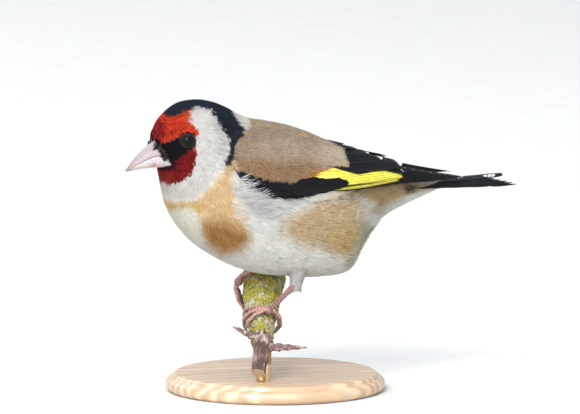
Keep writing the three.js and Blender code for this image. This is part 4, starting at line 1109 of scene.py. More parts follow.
def vane_paint(tier, at, pixels, draw):
    """The colours of a flight feather or covert: black with paler edges, yellow where its side of the wing
    shows the panel, and a white tip whose size goes with the tier."""
    t, share = at[:, 0], at[:, 1]
    colours = np.broadcast_to(np.array(VANE_BLACK), (len(t), 3)) * draw.uniform(0.8, 1.25)
    colours = mixed(colours, VANE_EDGE, (smoothstep(np.abs(share), 0.8, 1.0) * 0.7)[:, None])
    if tier in ("primary", "secondary", "greater_covert"):
        panel = np.maximum(inside_outline(pixels, YELLOW_PANEL, 0.7),
                           inside_outline(pixels, YELLOW_STREAK, 0.7))
        # The yellow fades at each vane's edges, painting thin lines of shade between the overlapping feathers
        panel *= 1 - 0.45 * smoothstep(np.abs(share), 0.9, 1.0)
        yellow = mixed(YELLOW_DEEP, WING_YELLOW, draw.uniform(0.5, 1))
        colours = mixed(colours, yellow, panel[:, None])
    white_from = {"primary": 0.985, "secondary": 0.98, "tertial": 0.93}.get(tier, 2)
    white = smoothstep(t, white_from, white_from + 0.025) * smoothstep(np.abs(share), 1.1, 0.6)
    return mixed(colours, VANE_WHITE, white[:, None])


flight, tree, shader = finish("flight_feather", roughness=0.5, Specular__IOR__Level=0.07)
painted = own_colour(tree)
barb_lines = node(tree, "TexWave", Vector=node(tree, "UVMap", uv_map_="barbs").outputs["UV"], Scale=26,
                  Distortion=0.6, Detail=1, bands_direction_="X")
worn = node(tree, "TexNoise", Vector=object_place(tree), Scale=900, Detail=4)
lined = tinted(tree, painted, barb_lines.outputs["Fac"],
               [(0.1, (0.78, 0.78, 0.78)), (0.7, (1.08, 1.08, 1.08))])
tree.links.new(tinted(tree, lined, worn.outputs["Fac"],
                      [(0.3, (0.85, 0.84, 0.83)), (0.7, (1.12, 1.12, 1.12))]),
               shader.inputs["Base Color"])
tree.links.new(node(tree, "MapRange", Value=worn.outputs["Fac"], To__Min=0.42,
                    To__Max=0.62).outputs["Result"],
               shader.inputs["Roughness"])
bumped(tree, shader, barb_lines.outputs["Fac"], 0.00005, 0.7)

for side_name, side in (("left", -1), ("right", 1)):
    draw = np.random.default_rng(300)
    points, colours, barb_maps, faces = [], [], [], []
    for tier, (count, roots, tips, fall, widths, heights, point) in WING_TIERS.items():
        for k in range(count):
            share = k / (count - 1)
            root_x, root_turn = mixed(np.array(roots[0], float), np.array(roots[1], float), share)
            tip_x = mixed(tips[0][0], tips[1][0], share ** fall) + draw.uniform(-0.25, 0.25)
            tip_turn = mixed(tips[0][1], tips[1][1], share) + draw.uniform(-0.3, 0.3)
            width, height = mixed(*widths, share), mixed(*heights, share)

            def shaft(t, sign=side):
                return wing_surface(mixed(root_x, tip_x, t), np.radians(mixed(root_turn, tip_turn, t)), sign,
                                    height * mixed(1, 0.75, t))

            def facing(t, sign=side):
                x, turn = mixed(root_x, tip_x, t), np.radians(mixed(root_turn, tip_turn, t))
                return wing_surface(x, turn, sign, 10) - wing_surface(x, turn, sign, 0)

            lean = {"primary": 0.3, "secondary": 0.22}.get(tier, 0.12) * side
            state = draw.bit_generator.state
            place, at, barb_map = vane(shaft, facing, width, point, side * 0.28, lean, draw)
            draw.bit_generator.state = state
            seen, _, _ = vane(lambda t: shaft(t, -1), lambda t: facing(t, -1), width, point, -0.28,
                              -abs(lean), draw)
            if side > 0:  # across runs the other way on the right wing
                seen = seen.reshape(2, VANE_ROWS, -1, 3)[:, :, ::-1].reshape(-1, 3)
            faces.append(plate_faces(VANE_ROWS, len(VANE_SHARES), True) + sum(len(p) for p in points))
            points.append(place)
            colours.append(vane_paint(tier, at, pixels_of(seen), draw))
            barb_maps.append(barb_map)
    vanes = add_piece(f"flight_feathers_{side_name}", np.concatenate(points), [np.concatenate(faces)], flight,
                      "flight_feather", np.concatenate(colours), {"barbs": np.concatenate(barb_maps)})
    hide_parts(f"wing_{side_name}")


# The shoulder of each wing: the forearm's flesh, and over it the soft brown scapulars that run on from the
# mantle, and the small black coverts along the wing's front edge.
# From front to back: x, the arc covered in degrees from the back line, and the plumage's height
SHOULDER_ROWS = np.array([
    (-27, 52, 66, 0), (-26, 46, 72, 0.4), (-24.8, 40, 79, 1.0), (-22, 32, 86, 1.8), (-18, 25, 89, 2.4),
    (-13, 22, 88, 2.8), (-8, 20, 87, 2.9), (-3, 19, 83, 2.8), (2, 19, 76, 2.6), (7.4, 19, 69, 2.4)])
SCAPULAR_LENGTH = [(-27, 2.6), (-18, 3.6), (-5, 4.6), (7.4, 4.6)]
SCAPULAR_LIE = [(-27, 22), (-15, 16), (0, 8), (11, 2)]
SCAPULAR_FEATHERS, SCAPULAR_BARBS, SCAPULAR_WIDTH = 2050, 13, 0.23
COVERT_BLACK = (0.014, 0.016, 0.021)
SCAPULAR_BROWN = (0.44, 0.33, 0.235)
SCAPULAR_AREA = [
    (200, 88), (262, 90), (300, 100), (350, 126), (366, 146), (360, 162), (350, 168.5), (338, 172),
    (318, 178), (309, 179.5), (294, 182.5), (280, 181.4), (263, 179.4), (250, 174.5), (238, 170.5),
    (226, 164), (215, 150)]
SHOULDER_MARKS = [
    ("golden", (0.57, 0.235, 0.06), 3.5,
     [(304, 178), (312, 170.5), (335, 166.5), (356, 168), (352, 178), (330, 183),
                                         (312, 182)]),
    ("yellow", WING_YELLOW, 2, [(316, 180), (324, 174), (350, 171), (360, 176), (346, 184), (330, 182)]),
    ("front_white", (0.66, 0.63, 0.58), 2, [(226, 168), (232, 170), (237, 180), (237, 187), (229, 182)]),
    ("white_fleck", (0.62, 0.60, 0.56), 1.2, [(317, 193), (331, 189.6), (332, 191.4), (322, 194)]),
]


def shoulder_surface(x, turn, side):
    """The outer face of the shoulder's plumage: the wing's surface raised by the row's height, which falls
    to nothing at both ends of the row's arc by a power of the distance from its middle."""
    spots, arc_from, arc_to, heights = SHOULDER_ROWS.T
    t = np.interp(x, spots, np.arange(len(spots)))
    low, high, height = (along_list(values, t) for values in (arc_from, arc_to, heights))
    share = (np.degrees(turn) - low) / (high - low)
    swell = 1 - np.clip(np.abs(2 * share - 1), 0, 1) ** 2.6
    return wing_surface(x, turn, side, 0.3 + height * swell)


def shoulder_paint(points, ragged=0.0):
    """The scapulars' browns as on the mantle, black beyond them, and over both the shoulder's markings."""
    pixels = pixels_of(points)
    if ragged:
        shift = np.stack([smooth_noise(points, 0.6, seed) - 0.5 for seed in (43, 44)], -1)
        pixels = pixels + shift * 2 * ragged
    colours = np.broadcast_to(np.array(SCAPULAR_BROWN), points.shape)
    for name, colour, softness, outline in MARKS[1:4]:
        colours = mixed(colours, colour, inside_outline(pixels, outline, softness)[..., None])
    colours = mixed(COVERT_BLACK, colours, inside_outline(pixels, SCAPULAR_AREA, 1.6)[..., None])
    for name, colour, softness, outline in SHOULDER_MARKS:
        colours = mixed(colours, colour, inside_outline(pixels, outline, softness)[..., None])
    return colours * (0.9 + 0.2 * smooth_noise(points, 2.0, 53))[..., None]


for side_name, side in (("left", -1), ("right", 1)):
    draw = np.random.default_rng(400)
    rows_x = np.linspace(-26.9, 7.3, 60)
    arc_low, arc_high = (np.interp(rows_x, SHOULDER_ROWS[:, 0], SHOULDER_ROWS[:, k]) for k in (1, 2))
    x_grid = np.repeat(rows_x[:, None], 40, 1)
    arc = np.radians(mixed(arc_low[:, None], arc_high[:, None], np.linspace(0, 1, 40)))
    outer, slope_x, slope_arc = surface_slopes(lambda x, turn: shoulder_surface(x, turn, side), x_grid, arc)
    outward = unit(np.cross(slope_arc, slope_x)) * -side
    upper = wing_surface(x_grid, arc, side, 0.0) + (outer - wing_surface(x_grid, arc, side, 0.0)) * 0.62
    lower = wing_surface(x_grid, arc, side, -1.8)
    left_place = shoulder_surface(x_grid, arc, -1).reshape(-1, 3)
    paint = shoulder_paint(left_place) * SKIN_TONE
    add_piece(f"forearm_{side_name}", np.concatenate((upper.reshape(-1, 3), lower.reshape(-1, 3))),
              [plate_faces(60, 40, side > 0)], plumage, "plumage", np.concatenate((paint, paint)))

    x_mid, _ = np.meshgrid((rows_x[:-1] + rows_x[1:]) / 2, (np.arange(40) + 0.5) / 40, indexing="ij")
    span = np.interp(x_mid, rows_x, arc_high - arc_low)
    weights = span / np.interp(x_mid, *zip(*SCAPULAR_LENGTH)) ** 1.2
    x, share = scattered(SCAPULAR_FEATHERS, weights, rows_x, np.linspace(0, 1, 41))
    turn = np.radians(mixed(np.interp(x, rows_x, arc_low), np.interp(x, rows_x, arc_high), share))
    length = np.interp(x, *zip(*SCAPULAR_LENGTH)) * draw.uniform(0.85, 1.15, len(x))
    lie = np.radians(np.interp(x, *zip(*SCAPULAR_LIE)) * np.sin(np.pi * np.clip(share, 0, 1)) ** 0.5)
    barb, seen, patch = feathers_over(
        lambda p, q: shoulder_surface(p, q, side), lambda p, q: shoulder_surface(p, q, -1), x, turn, -side, 1,
        np.ones(len(x)), length, lie, SCAPULAR_BARBS, SCAPULAR_WIDTH, np.full(len(x), 0.9), 0.02 * length,
        draw)
    add_barbs(f"scapulars_{side_name}", barb, shade_barbs(shoulder_paint(seen, 1.6), draw, 0.17, 0.3),
              np.stack(((x + 30) / 50, share), -1)[:, None, None, :] + patch)


# The white plumes of the flank: long loose feathers rooted on the breast's side just under the wing. Most lie
# flat and sweep back along the wing's lower edge, and a loose row of them climbs over it.
# For each group: how many, the barbs of each, how far below the wing's edge they root in degrees, how steeply
# they run down and how much that strays in degrees, and how far their tips rise in mm
PLUMES = [(230, 13, (-4, 14), (21, 5), (0.15, 0.6)), (110, 3, (-14, 0), (6, 12), (2.2, 3.3)),
          (34, 3, (-4, 2), (-24, 10), (1.8, 2.7))]
BODY_FALL = [(6.8, 12), (7.5, 14), (8, 22), (8.5, 29), (9, 35),
             (9.4, 43)]  # how steeply the body itself runs down
PLUME_WIDTH = 0.15
PLUME_WHITE = (0.78, 0.77, 0.75)
for side_name, side in (("left", -1), ("right", 1)):
    draw = np.random.default_rng(500)
    parts = []
    for count, barbs, below, (lie, strays), rises in PLUMES:
        t = 9.1 - 1.6 * draw.random(count)
        edge = np.interp(t, (6.8, 7.6, 8.4, 9.3), (99, 99, 98, 92))
        turn = side * np.radians(edge + draw.uniform(*below, count))
        length = draw.uniform(4.5, 8.5, count)
        barb, seen, patch = feathers_over(
            body_surface, body_twin, t, turn, 1, -1, np.full(count, float(side)), length,
            np.radians(lie + draw.normal(0, strays, count) - np.interp(t, *zip(*BODY_FALL))), barbs,
            PLUME_WIDTH, np.full(count, 0.8), draw.uniform(*rises, count), draw, spread=0.14, stray=0.05)
        white = np.array(PLUME_WHITE) * draw.uniform(0.9, 1.08, (count, 1, 1)) + 0 * seen
        paint = white if rises[0] > 1 else mixed(plumage_colours(seen, 1.4), white, 0.5)
        places = body_map(t, turn)[:, None, None, :] + patch
        colours = shade_barbs(paint, draw, 0.10, 0.04, 0.85)
        parts.append((barb.reshape(-1, 3), colours.reshape(-1, 3), places.reshape(-1, 2)))
    add_barbs(f"flank_plumes_{side_name}", *(np.concatenate(kind) for kind in zip(*parts)))


# The tail: twelve feathers, the middle pair on top and shortest, so that its end is forked. They are black
# with white tips, and the outer ones have a long white patch on their inner web, as seen from below.
RECTRIX_PAIRS = 6
RECTRIX_ROOT_X, RECTRIX_LENGTH, RECTRIX_FORK, RECTRIX_WIDTH = 27, 41, 7, 6.9
RECTRIX_SPREAD_ROOT, RECTRIX_SPREAD_TIP = 0.45, 1.26
TAIL_ROOT_Z, TAIL_TIP_Z, TAIL_LAYER, TAIL_ROOF, TAIL_ROLL = 3.4, 4.2, 0.17, 0.05, 0.1
RECTRIX_POINT = 14


def tail_paint(pair, at, inner, draw):
    """Black, with paler edges, white tips on the inner three pairs, and white on the inner web of the
    others."""
    t, share = at[:, 0], at[:, 1] * inner
    colours = np.broadcast_to(np.array((0.008, 0.010, 0.013)), (len(t), 3)) * draw.uniform(0.8, 1.3)
    colours = mixed(colours, VANE_EDGE, (smoothstep(np.abs(share), 0.85, 1.0) * 0.4)[:, None])
    tip = smoothstep(t + 0.02 * share, 0.955, 0.975) * smoothstep(np.abs(share), 0.95, 0.6) * (pair < 3)
    patch = (smoothstep(t, 0.45, 0.52) * smoothstep(t, 0.88, 0.8) * smoothstep(share, 0.15, 0.3)
             * smoothstep(share, 1.02, 0.92)) * (pair >= 3)
    return mixed(colours, VANE_WHITE, np.maximum(tip, patch)[:, None])


draw = np.random.default_rng(600)
points, colours, barb_maps, faces = [], [], [], []
for pair in range(RECTRIX_PAIRS):
    for side in (-1, 1):
        share = pair / (RECTRIX_PAIRS - 1)
        length = RECTRIX_LENGTH - RECTRIX_FORK * (1 - share) ** 1.3
        root_y, tip_y = side * RECTRIX_SPREAD_ROOT * (pair + 0.5), side * RECTRIX_SPREAD_TIP * (pair + 0.5)

        def shaft(t):
            y = mixed(root_y, tip_y, t ** 1.2)
            z = mixed(TAIL_ROOT_Z, TAIL_TIP_Z, t) + TAIL_LAYER * (RECTRIX_PAIRS - 1 - pair)
            return np.stack((RECTRIX_ROOT_X + length * t, y, z - TAIL_ROOF * np.abs(y) + TAIL_ROLL * y), -1)

        def facing(t):
            return np.broadcast_to(np.array((0.0, 0.0, 1.0)), (len(t), 3))

        place, at, barb_map = vane(shaft, facing, RECTRIX_WIDTH, RECTRIX_POINT, side * 0.17, -0.28 * side,
                                   draw)
        faces.append(plate_faces(VANE_ROWS, len(VANE_SHARES), True) + sum(len(p) for p in points))
        points.append(place)
        # across runs towards the right, so the inner web of a left feather has positive shares
        colours.append(tail_paint(pair, at, side, draw))
        barb_maps.append(barb_map)
tail = add_piece("tail_feathers", np.concatenate(points), [np.concatenate(faces)], flight, "flight_feather",
                 np.concatenate(colours), {"barbs": np.concatenate(barb_maps)})
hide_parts("tail")


# The bill: two horny halves that meet along the line of the mouth, which drops to the gape under the
# lores. Pinkish white, with a grey-brown tip and ridge, and a nostril on each side near the forehead.
# For each station: x, the ridge's height, the mouth's, the keel's, and the half widths above and below
BILL_ROWS = np.array([
    (-57.9, 12, 11.7, 11.45, 0.25, 0.24), (-56.8, 13.1, 12.3, 11.7, 0.75, 0.71),
    (-55, 15.1, 13.45, 12, 1.5, 1.43), (-52.6, 17.5, 14.75, 12.25, 2.4, 2.28),
    (-50.3, 19.3, 15.85, 12.35, 3.15, 3), (-48, 20.7, 16.4, 12.45, 3.8, 3.7),
    (-46, 21.3, 15.2, 12.45, 4.3, 4.3), (-44, 21.4, 13.65, 12.5, 4.7, 4.7)])
MOUTH_GAP = 0.06  # half the line of the mouth
NOSTRIL_AT, NOSTRIL_SIZE = (-49.4, 18.6), 0.55
BILL_STATIONS, BILL_ARC, BILL_FLAT = 56, 40, 10
BILL_PINK = (0.28, 0.235, 0.25)
BILL_CREAM = (0.42, 0.39, 0.395)
BILL_TIP = (0.15, 0.125, 0.115)
BILL_BASE = (0.36, 0.265, 0.275)


def bill_half(end_column, half_column, gap, first_row):
    """Half the bill: at each station an arc from one side to the other, whose height runs from the mouth to
    the ridge or keel by a power of the sine, and back along the flat of the mouth, a little hollow."""
    row = np.linspace(first_row, len(BILL_ROWS) - 1, BILL_STATIONS)
    x, end, mouth, half = (along_list(BILL_ROWS[:, k], row)[:, None] for k in (0, end_column, 2, half_column))
    turn = np.linspace(0, np.pi, BILL_ARC)[None, :]
    edge = mouth + gap
    arc = np.stack(np.broadcast_arrays(x, np.cos(turn) * half, mixed(edge, end, np.sin(turn) ** 0.85)), -1)
    back = np.linspace(-1, 1, BILL_FLAT + 2)[None, 1:-1]
    flat = np.stack(np.broadcast_arrays(x, back * half, edge + gap * 0.8 * (1 - back ** 4)), -1)
    ring = np.concatenate((arc, flat), 1)
    ends = [[r.mean(0) + (r - r.mean(0)) * share for share in (0.6, 0.002)] for r in (ring[0], ring[-1])]
    return np.concatenate([ends[0][::-1], ring, ends[1]])


horn, tree, shader = finish("bill_horn", roughness=0.4, Specular__IOR__Level=0.3, Subsurface__Weight=0.12,
                            Subsurface__Scale=0.002)
place = object_place(tree)
painted = own_colour(tree)
growth = node(tree, "TexNoise",
              Vector=node(tree, "Mapping", Vector=place, Scale=(1, 3.5, 3.5)).outputs["Vector"], Scale=700,
              Detail=5, Roughness=0.6)
tree.links.new(tinted(tree, painted, growth.outputs["Fac"],
                      [(0.3, (0.86, 0.83, 0.81)), (0.65, (1.06, 1.06, 1.06))]),
               shader.inputs["Base Color"])
tree.links.new(node(tree, "MapRange", Value=growth.outputs["Fac"], To__Min=0.46,
                    To__Max=0.28).outputs["Result"],
               shader.inputs["Roughness"])
bumped(tree, shader, growth.outputs["Fac"], 0.00009, 0.5)

for name, end_column, half_column, gap, first_row in (("upper", 1, 4, MOUTH_GAP, 0),
                                                      ("lower", 3, 5, -MOUTH_GAP, 0.8)):
    rings = bill_half(end_column, half_column, gap, first_row)
    grit = smooth_noise(rings, 0.5, 61) - 0.5
    rings = rings + np.stack((0 * grit, 0.04 * grit, 0.05 * grit), -1)
    from_nostril = np.hypot(rings[..., 0] - NOSTRIL_AT[0], (rings[..., 2] - NOSTRIL_AT[1]) * 1.3)
    pit = np.exp(-(from_nostril / NOSTRIL_SIZE) ** 2) * (np.abs(rings[..., 1]) > 0.5) * (gap > 0)
    rings[..., 1] *= 1 - 0.28 * pit
    base = BILL_PINK if gap > 0 else BILL_CREAM
    paint = np.broadcast_to(np.array(base), rings.shape).copy()
    paint = mixed(paint, BILL_TIP, smoothstep(rings[..., 0], -54.2, -57.6)[..., None] * 0.75)
    ridge = smoothstep(np.abs(rings[..., 1]), 0.55, 0.1) * smoothstep(rings[..., 0], -51, -56) * (gap > 0)
    paint = mixed(paint, BILL_TIP, ridge[..., None] * 0.8)
    stained = smoothstep(smooth_noise(rings, 0.9, 63), 0.62, 0.8) * smoothstep(np.abs(rings[..., 2] - 13.4),
                                                                               1.6, 0.2)
    paint = mixed(paint, np.array((0.36, 0.21, 0.13)), (0.75 * stained)[..., None])
    paint = mixed(paint, BILL_BASE, smoothstep(rings[..., 0], -49.0, -46.5)[..., None] * 0.5 * (gap > 0))
    # The nostril's pit is painted darker, as painted shade in it
    paint = mixed(paint, np.array((0.16, 0.08, 0.07)), (pit ** 2)[..., None] * 0.5)
    shell = turned_head(rings, np.full(rings.shape[:-1], float(LAST_SLICE)))
    faces = quads_of(len(rings), rings.shape[1], closed=True)
    piece = add_piece(f"bill_{name}_horn", shell.reshape(-1, 3), [faces if gap > 0 else faces[:, ::-1]], horn,
                      "bill", paint.reshape(-1, 3))
    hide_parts(f"bill_{name}")


# The eyes: dark brown, nearly black, wet and round, each set in a bare ring of grainy grey lid.
EYE_RADIUS = 2.5
LID_RADIUS, LID_THICK = 2.12, 0.22
EYE_RINGS, EYE_SIDES = 48, 64

wet, tree, shader = finish("eye", roughness=0.06, Specular__IOR__Level=0.08)
tree.links.new(own_colour(tree), shader.inputs["Base Color"])
lid_skin, tree, shader = finish("eyelid", roughness=0.6, Specular__IOR__Level=0.2)
painted = own_colour(tree)
grains = node(tree, "TexVoronoi", Vector=object_place(tree), Scale=4200)
tree.links.new(tinted(tree, painted, grains.outputs["Distance"],
                      [(0.1, (1.3, 1.3, 1.3)), (0.6, (0.6, 0.6, 0.6))]),
               shader.inputs["Base Color"])
bumped(tree, shader, grains.outputs["Distance"], 0.00008, 0.6)


def in_head(point):
    """A place given in the head's own frame, turned with the head."""
    return turned_head(np.array(point, float), np.array(float(LAST_SLICE)))


def eye_axes(side):
    """The eye's middle, and three directions: out of the eye, along its ring, and across that."""
    middle = in_head((EYE_AT[0], side * EYE_AT[1], EYE_AT[2]))
    out = unit(in_head((EYE_AT[0] - 0.35, side * (EYE_AT[1] + 1), EYE_AT[2] + 0.05)) - middle)
    level = unit(np.cross(out, (0, 0, 1)))
    return middle, out, level, np.cross(level, out)


for side_name, side in (("left", -1), ("right", 1)):
    middle, out, level, upright = eye_axes(side)
    polar = np.linspace(0.004, np.pi - 0.004, EYE_RINGS)[:, None]
    round_eye = full_turn(EYE_SIDES)[None, :]
    swell = EYE_RADIUS * (1 + 0.035 * np.exp(-(polar / 0.62) ** 2)) - 0.02
    ball = (middle + (np.cos(polar) * swell)[..., None] * out
            + (np.sin(polar) * np.cos(round_eye) * swell)[..., None] * level
            + (np.sin(polar) * np.sin(round_eye) * swell)[..., None] * upright)
    pupil = smoothstep(np.broadcast_to(polar, ball.shape[:-1]), 0.46, 0.56)[..., None]
    iris = mixed(np.array((0.004, 0.004, 0.005)), np.array((0.012, 0.008, 0.006)), pupil)
    rays = 1 + 0.25 * np.sin(round_eye * 37 + 3 * np.sin(round_eye * 5))
    iris = iris * (1 - 0.5 * smoothstep(polar, 0.75, 0.95)[..., None]) * rays[..., None] ** 0.6
    eyeball = add_piece(f"eyeball_{side_name}", ball.reshape(-1, 3),
                        [quads_of(EYE_RINGS, EYE_SIDES, closed=True)], wet, "eye", iris.reshape(-1, 3))
    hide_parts(f"eye_{side_name}")

    around = full_turn(96)[:, None]
    section = full_turn(20)[None, :]
    almond = 1 + 0.035 * np.cos(2 * around)
    wrinkle = 1 + 0.10 * np.sin(around * 23 + 2 * np.sin(around * 4)) * (np.cos(section) > -0.2)
    ring_radius = LID_RADIUS * almond + LID_THICK * np.cos(section) * 1.15
    rise = np.sqrt(EYE_RADIUS ** 2 - LID_RADIUS ** 2) + 0.10 + LID_THICK * np.sin(section) * 0.85 * wrinkle
    ring = (middle + rise[..., None] * out + (ring_radius * np.cos(around))[..., None] * level
            + (ring_radius * np.sin(around))[..., None] * upright)
    tone = mixed(np.array((0.004, 0.004, 0.005)), np.array((0.010, 0.0105, 0.012)),
                 smoothstep(np.sin(section) * np.ones_like(around), 0.1, 0.95)[..., None])
    add_piece(f"eyelid_{side_name}", ring.reshape(-1, 3),
              [np.concatenate((quads_of(96, 20, closed=True),
                               np.stack((95 * 20 + np.arange(20), 95 * 20 + (np.arange(20) + 1) % 20,
                                         (np.arange(20) + 1) % 20, np.arange(20)), -1)))],
              lid_skin, "eye", tone.reshape(-1, 3))


# The legs: short feathered shanks, then bare reddish-brown tarsi with a row of overlapping scutes down the
# front, and four scuted toes with padded soles. The feet grip the perch, three toes ahead and one behind.
# For each foot: the side, its share along the perch, and how far round it in degrees
FEET = {"left": (-1, 0.462, 22), "right": (1, 0.77, -66)}
# For each toe: how far it sweeps round the perch in degrees, how it drifts along it in mm, its radius, and
# its claw's length
TOES = {"hallux": (92, 0.4, 0.85, 5.4), "inner": (-84, 3.1, 0.72, 4.0), "middle": (-112, 0.3, 0.8, 4.6),
        "outer": (-88, -2.9, 0.72, 3.9)}
TOE_CLEARANCE, PAD_RADIUS = 0.35, 1.5
TARSUS_FOOT, TARSUS_ANKLE = 0.85, 1.15
CLAW_RADIUS, CLAW_CURL = 0.62, 1.9
LEG_BROWN = (0.26, 0.135, 0.115)
LEG_PINK = (0.40, 0.225, 0.195)
# The dark colour below is painted shade, laid in the grooves between the scutes
LEG_GROOVE_SHADE = (0.085, 0.040, 0.034)
CLAW_GREY = (0.085, 0.075, 0.065)
CLAW_ROOT = (0.22, 0.17, 0.14)
SHANK_FEATHERS, SHANK_BARBS, SHANK_BARB_WIDTH = 520, 10, 0.15

perch_steps = perch_line(np.linspace(0, 1, 201))
perch_length = np.linalg.norm(np.diff(perch_steps, axis=0), axis=1).sum()


def over_perch(u, turn, height):
    """As on_perch, over bark a twentieth thicker than the perch's plain radius."""
    return on_perch(u, turn, height + 0.05 * along_list(PERCH_RADII, np.asarray(u) * (len(PERCH_RADII) - 1)))


def tube(path, radii, up, sides):
    """A profile carried along a path: at each step a ring of points at the given radii, which has a column
    for each side, set across the path, with turn 0 towards up."""
    ahead = unit(np.gradient(path, axis=0))
    across = unit(np.cross(ahead, up))
    over = np.cross(across, ahead)
    turn = full_turn(sides)
    ring = np.cos(turn)[None, :, None] * over[:, None] + np.sin(turn)[None, :, None] * across[:, None]
    rings = path[:, None] + ring * radii[..., None]
    ends = [[r.mean(0) + (r - r.mean(0)) * share for share in (0.75, 0.4, 0.003)] for r in (rings[0],
                                                                                            rings[-1])]
    return np.concatenate([ends[0][::-1], rings, ends[1]])


def scuted(way, turn, count, depth):
    """The swell of scutes over a limb's front, where turn is near 0: each rises along its length and drops
    at its edge, and their sides lie under a groove. Softer wrinkles cross the sole behind."""
    front = smoothstep(np.cos(turn), 0.05, 0.5)
    saw = (way * count) % 1
    plates = depth * (saw ** 0.7 - 1.4 * smoothstep(saw, 0.9, 1.0))
    groove = -depth * 0.9 * np.exp(-((np.cos(turn) - 0.2) / 0.09) ** 2)
    sole = 0.5 * depth * np.sin(way * count * 9) * smoothstep(-np.cos(turn), 0.1, 0.7)
    return front * plates + groove + sole


leg_skin, tree, shader = finish("leg_scutes", roughness=0.48, Specular__IOR__Level=0.45)
place = object_place(tree)
painted = own_colour(tree)
pores = node(tree, "TexNoise", Vector=place, Scale=2400, Detail=5, Roughness=0.6)
tree.links.new(tinted(tree, painted, pores.outputs["Fac"],
                      [(0.3, (0.72, 0.7, 0.7)), (0.7, (1.15, 1.13, 1.12))]),
               shader.inputs["Base Color"])
bumped(tree, shader, pores.outputs["Fac"], 0.00008, 0.6)
claw_horn, tree, shader = finish("claw_horn", roughness=0.3, Coat__Weight=0.2)
place = object_place(tree)
painted = own_colour(tree)
streak = node(tree, "TexNoise", Vector=place, Scale=1500, Detail=4)
tree.links.new(tinted(tree, painted, streak.outputs["Fac"],
                      [(0.3, (0.75, 0.75, 0.75)), (0.7, (1.2, 1.2, 1.2))]),
               shader.inputs["Base Color"])
bumped(tree, shader, streak.outputs["Fac"], 0.00004, 0.5)


def leg_paint(swell, way, depth):
    """Reddish brown, paler on the raised plates as a painted highlight and darker in the grooves between them
    as painted shade, and darker towards the toes.
    """
    high = smoothstep(swell, -depth * 0.5, depth * 0.8)[..., None]
    # Painted light from the relief: the grooves painted dark as shade, the raised plates light as a highlight
    paint = mixed(np.array(LEG_GROOVE_SHADE), mixed(LEG_BROWN, LEG_PINK, high), 0.35 + 0.65 * high)
    return paint * mixed(1.0, 0.82, way)[..., None]


def toe_path(foot_name, toe_name, steps):
    """The middle of a toe: round the perch by its sweep and along it by its drift, a toe's radius over the
    bark, higher at the foot, with a soft knuckle at each joint."""
    side, along, turn = FEET[foot_name]
    sweep, drift, radius, _ = TOES[toe_name]
    t = np.linspace(0, 1, steps)
    lift = (radius + TOE_CLEARANCE + 0.9 * (1 - t) ** 2
            + 0.25 * np.sin(np.pi * np.minimum(t * 3, 3)) ** 2)
    return over_perch(along - t * drift * side / perch_length, np.radians(turn) + np.radians(sweep) * t, lift)


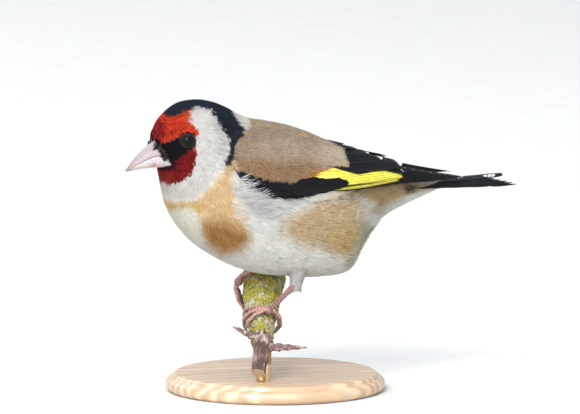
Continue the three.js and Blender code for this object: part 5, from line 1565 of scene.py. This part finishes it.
for (foot_name, (side, along, turn)), (_, _, ankle) in zip(FEET.items(), SHANKS):
    ankle = np.array(ankle, float)
    toe_root = over_perch(np.array(along), np.array(np.radians(turn)), PAD_RADIUS + 0.3)
    points, faces, colours = [], [], []
    for toe_name, (sweep, drift, radius, claw_length) in TOES.items():
        steps, sides = 96, 18
        path = toe_path(foot_name, toe_name, steps)
        way = np.linspace(0, 1, steps)[:, None]
        round_toe = full_turn(sides)[None, :]
        middle = over_perch(np.full(steps, along), np.radians(turn) + np.radians(sweep) * way[:, 0],
                            -2.0 + 0 * way[:, 0])
        swell = scuted(way, round_toe, 11, 0.08)
        pads = 0.10 * np.sin(way * np.pi * 6) * smoothstep(-np.cos(round_toe), 0.2, 0.8)
        radii = radius * (1 - 0.17 * way + 0.05 * np.cos(way * 17)) + swell + pads
        rings = tube(path, radii, unit(path - middle), sides)
        full_way = np.clip((np.arange(len(rings)) - 3) / (steps - 1), 0, 1)[:, None] * np.ones((1, sides))
        full_swell = np.zeros((len(rings), sides))
        full_swell[3:-3] = swell
        faces.append(quads_of(len(rings), sides, closed=True) + sum(len(p) for p in points))
        points.append(rings.reshape(-1, 3))
        colours.append(leg_paint(full_swell, full_way, 0.08).reshape(-1, 3))

        # The claw grows on from the toe's end and hooks in towards the bark
        ahead = unit(path[-1] - path[-4])
        inward = unit(middle[-1] - path[-1])
        inward = unit(inward - ahead * (inward @ ahead))
        t = np.linspace(0, 1, 28)
        claw_path = (path[-1] - ahead * 0.1 + np.outer(claw_length * np.sin(t * 1.15) / 1.15 + 0.3 * t, ahead)
                     + np.outer(CLAW_CURL * (1.4 * t * t - 0.5 * t), inward))
        claw_side = full_turn(16)[None, :]
        claw_radii = (np.maximum(0.035, CLAW_RADIUS * (1 - t) ** 0.75)[:, None]
                      * (0.86 + 0.16 * np.cos(2 * claw_side) + 0.05 * np.cos(claw_side)))
        claw_rings = tube(claw_path, claw_radii, np.broadcast_to(-inward, claw_path.shape), 16)
        claw_way = np.clip((np.arange(len(claw_rings)) - 3) / 27, 0, 1)[:, None, None]
        claw_paint = mixed(CLAW_ROOT, CLAW_GREY, claw_way ** 0.6) + np.zeros((1, 16, 1))
        claw = add_piece(f"claw_{foot_name}_{toe_name}_horn", claw_rings.reshape(-1, 3),
                         [quads_of(len(claw_rings), 16, closed=True)], claw_horn, "claw",
                         claw_paint.reshape(-1, 3))
        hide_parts(f"claw_{foot_name}_{toe_name}")

    # The ball of the foot, where the toes meet under the tarsus
    polar = np.linspace(0.01, np.pi - 0.01, 24)[:, None]
    round_ball = full_turn(32)[None, :]
    direction = np.stack(np.broadcast_arrays(np.sin(polar) * np.cos(round_ball),
                                             np.sin(polar) * np.sin(round_ball), np.cos(polar)), -1)
    knob = 0.06 * (smooth_noise(direction * 4, 1.0, 71) - 0.5)
    ball = toe_root + direction * (PAD_RADIUS * 0.93 + knob[..., None])
    faces.append(quads_of(24, 32, closed=True)[:, ::-1] + sum(len(p) for p in points))
    points.append(ball.reshape(-1, 3))
    colours.append(leg_paint(knob, np.full(knob.shape, 0.3), 0.06).reshape(-1, 3))
    foot = add_piece(f"toes_{foot_name}", np.concatenate(points), [np.concatenate(faces)], leg_skin, "leg",
                     np.concatenate(colours))
    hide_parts(f"foot_{foot_name}")

    ahead = unit(ankle - toe_root)
    way = np.linspace(0, 1, 120)[:, None]
    start = toe_root + ahead * PAD_RADIUS * 0.6
    path = mixed(start, ankle, way)
    front = unit(np.array((-1.0, -0.25 * side, 0.0)) - ahead * (np.array((-1.0, -0.25 * side, 0.0)) @ ahead))
    round_leg = full_turn(24)[None, :]
    swell = scuted(way, round_leg, 8, 0.09)
    radii = mixed(TARSUS_FOOT, TARSUS_ANKLE, way ** 2) + 0.12 * np.cos(way * 6) + swell
    rings = tube(path, radii, np.broadcast_to(front, path.shape), 24)
    full_swell = np.zeros((len(rings), 24))
    full_swell[3:-3] = swell
    full_way = 1 - np.clip((np.arange(len(rings)) - 3) / 119, 0, 1)[:, None] * np.ones((1, 24))
    tarsus = add_piece(f"tarsus_{foot_name}_scutes", rings.reshape(-1, 3),
                       [quads_of(len(rings), 24, closed=True)], leg_skin, "leg",
                       leg_paint(full_swell, full_way * 0.6, 0.09).reshape(-1, 3))
    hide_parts(f"tarsus_{foot_name}")

for side, knee, ankle in SHANKS:
    draw = np.random.default_rng(700)
    side_name = "left" if side < 0 else "right"
    p, q = scattered(SHANK_FEATHERS, np.ones((20, 24)), np.linspace(0.1, 1.08, 21),
                     np.linspace(0, 2 * np.pi, 25))
    surface = lambda p, q: shank_surface(p, q, knee, ankle)
    length = draw.uniform(1.7, 2.8, SHANK_FEATHERS)
    barb, seen, patch = feathers_over(
        surface, surface, p, q, 1, 1, np.ones(SHANK_FEATHERS), length, draw.normal(0, 0.15, SHANK_FEATHERS),
        SHANK_BARBS, SHANK_BARB_WIDTH, np.full(SHANK_FEATHERS, SHANK_DEPTH),
        draw.uniform(0.05, 0.45, SHANK_FEATHERS), draw, spread=0.35)
    paint = np.array(SHANK_WHITE) * draw.uniform(0.85, 1.08, (SHANK_FEATHERS, 1, 1)) + 0 * seen
    add_barbs(f"shank_plumage_{side_name}", barb, shade_barbs(paint, draw, 0.08, 0.05, 0.8),
              np.stack((q / (2 * np.pi), 0.9 + 0.05 * p), -1)[:, None, None, :] + patch)
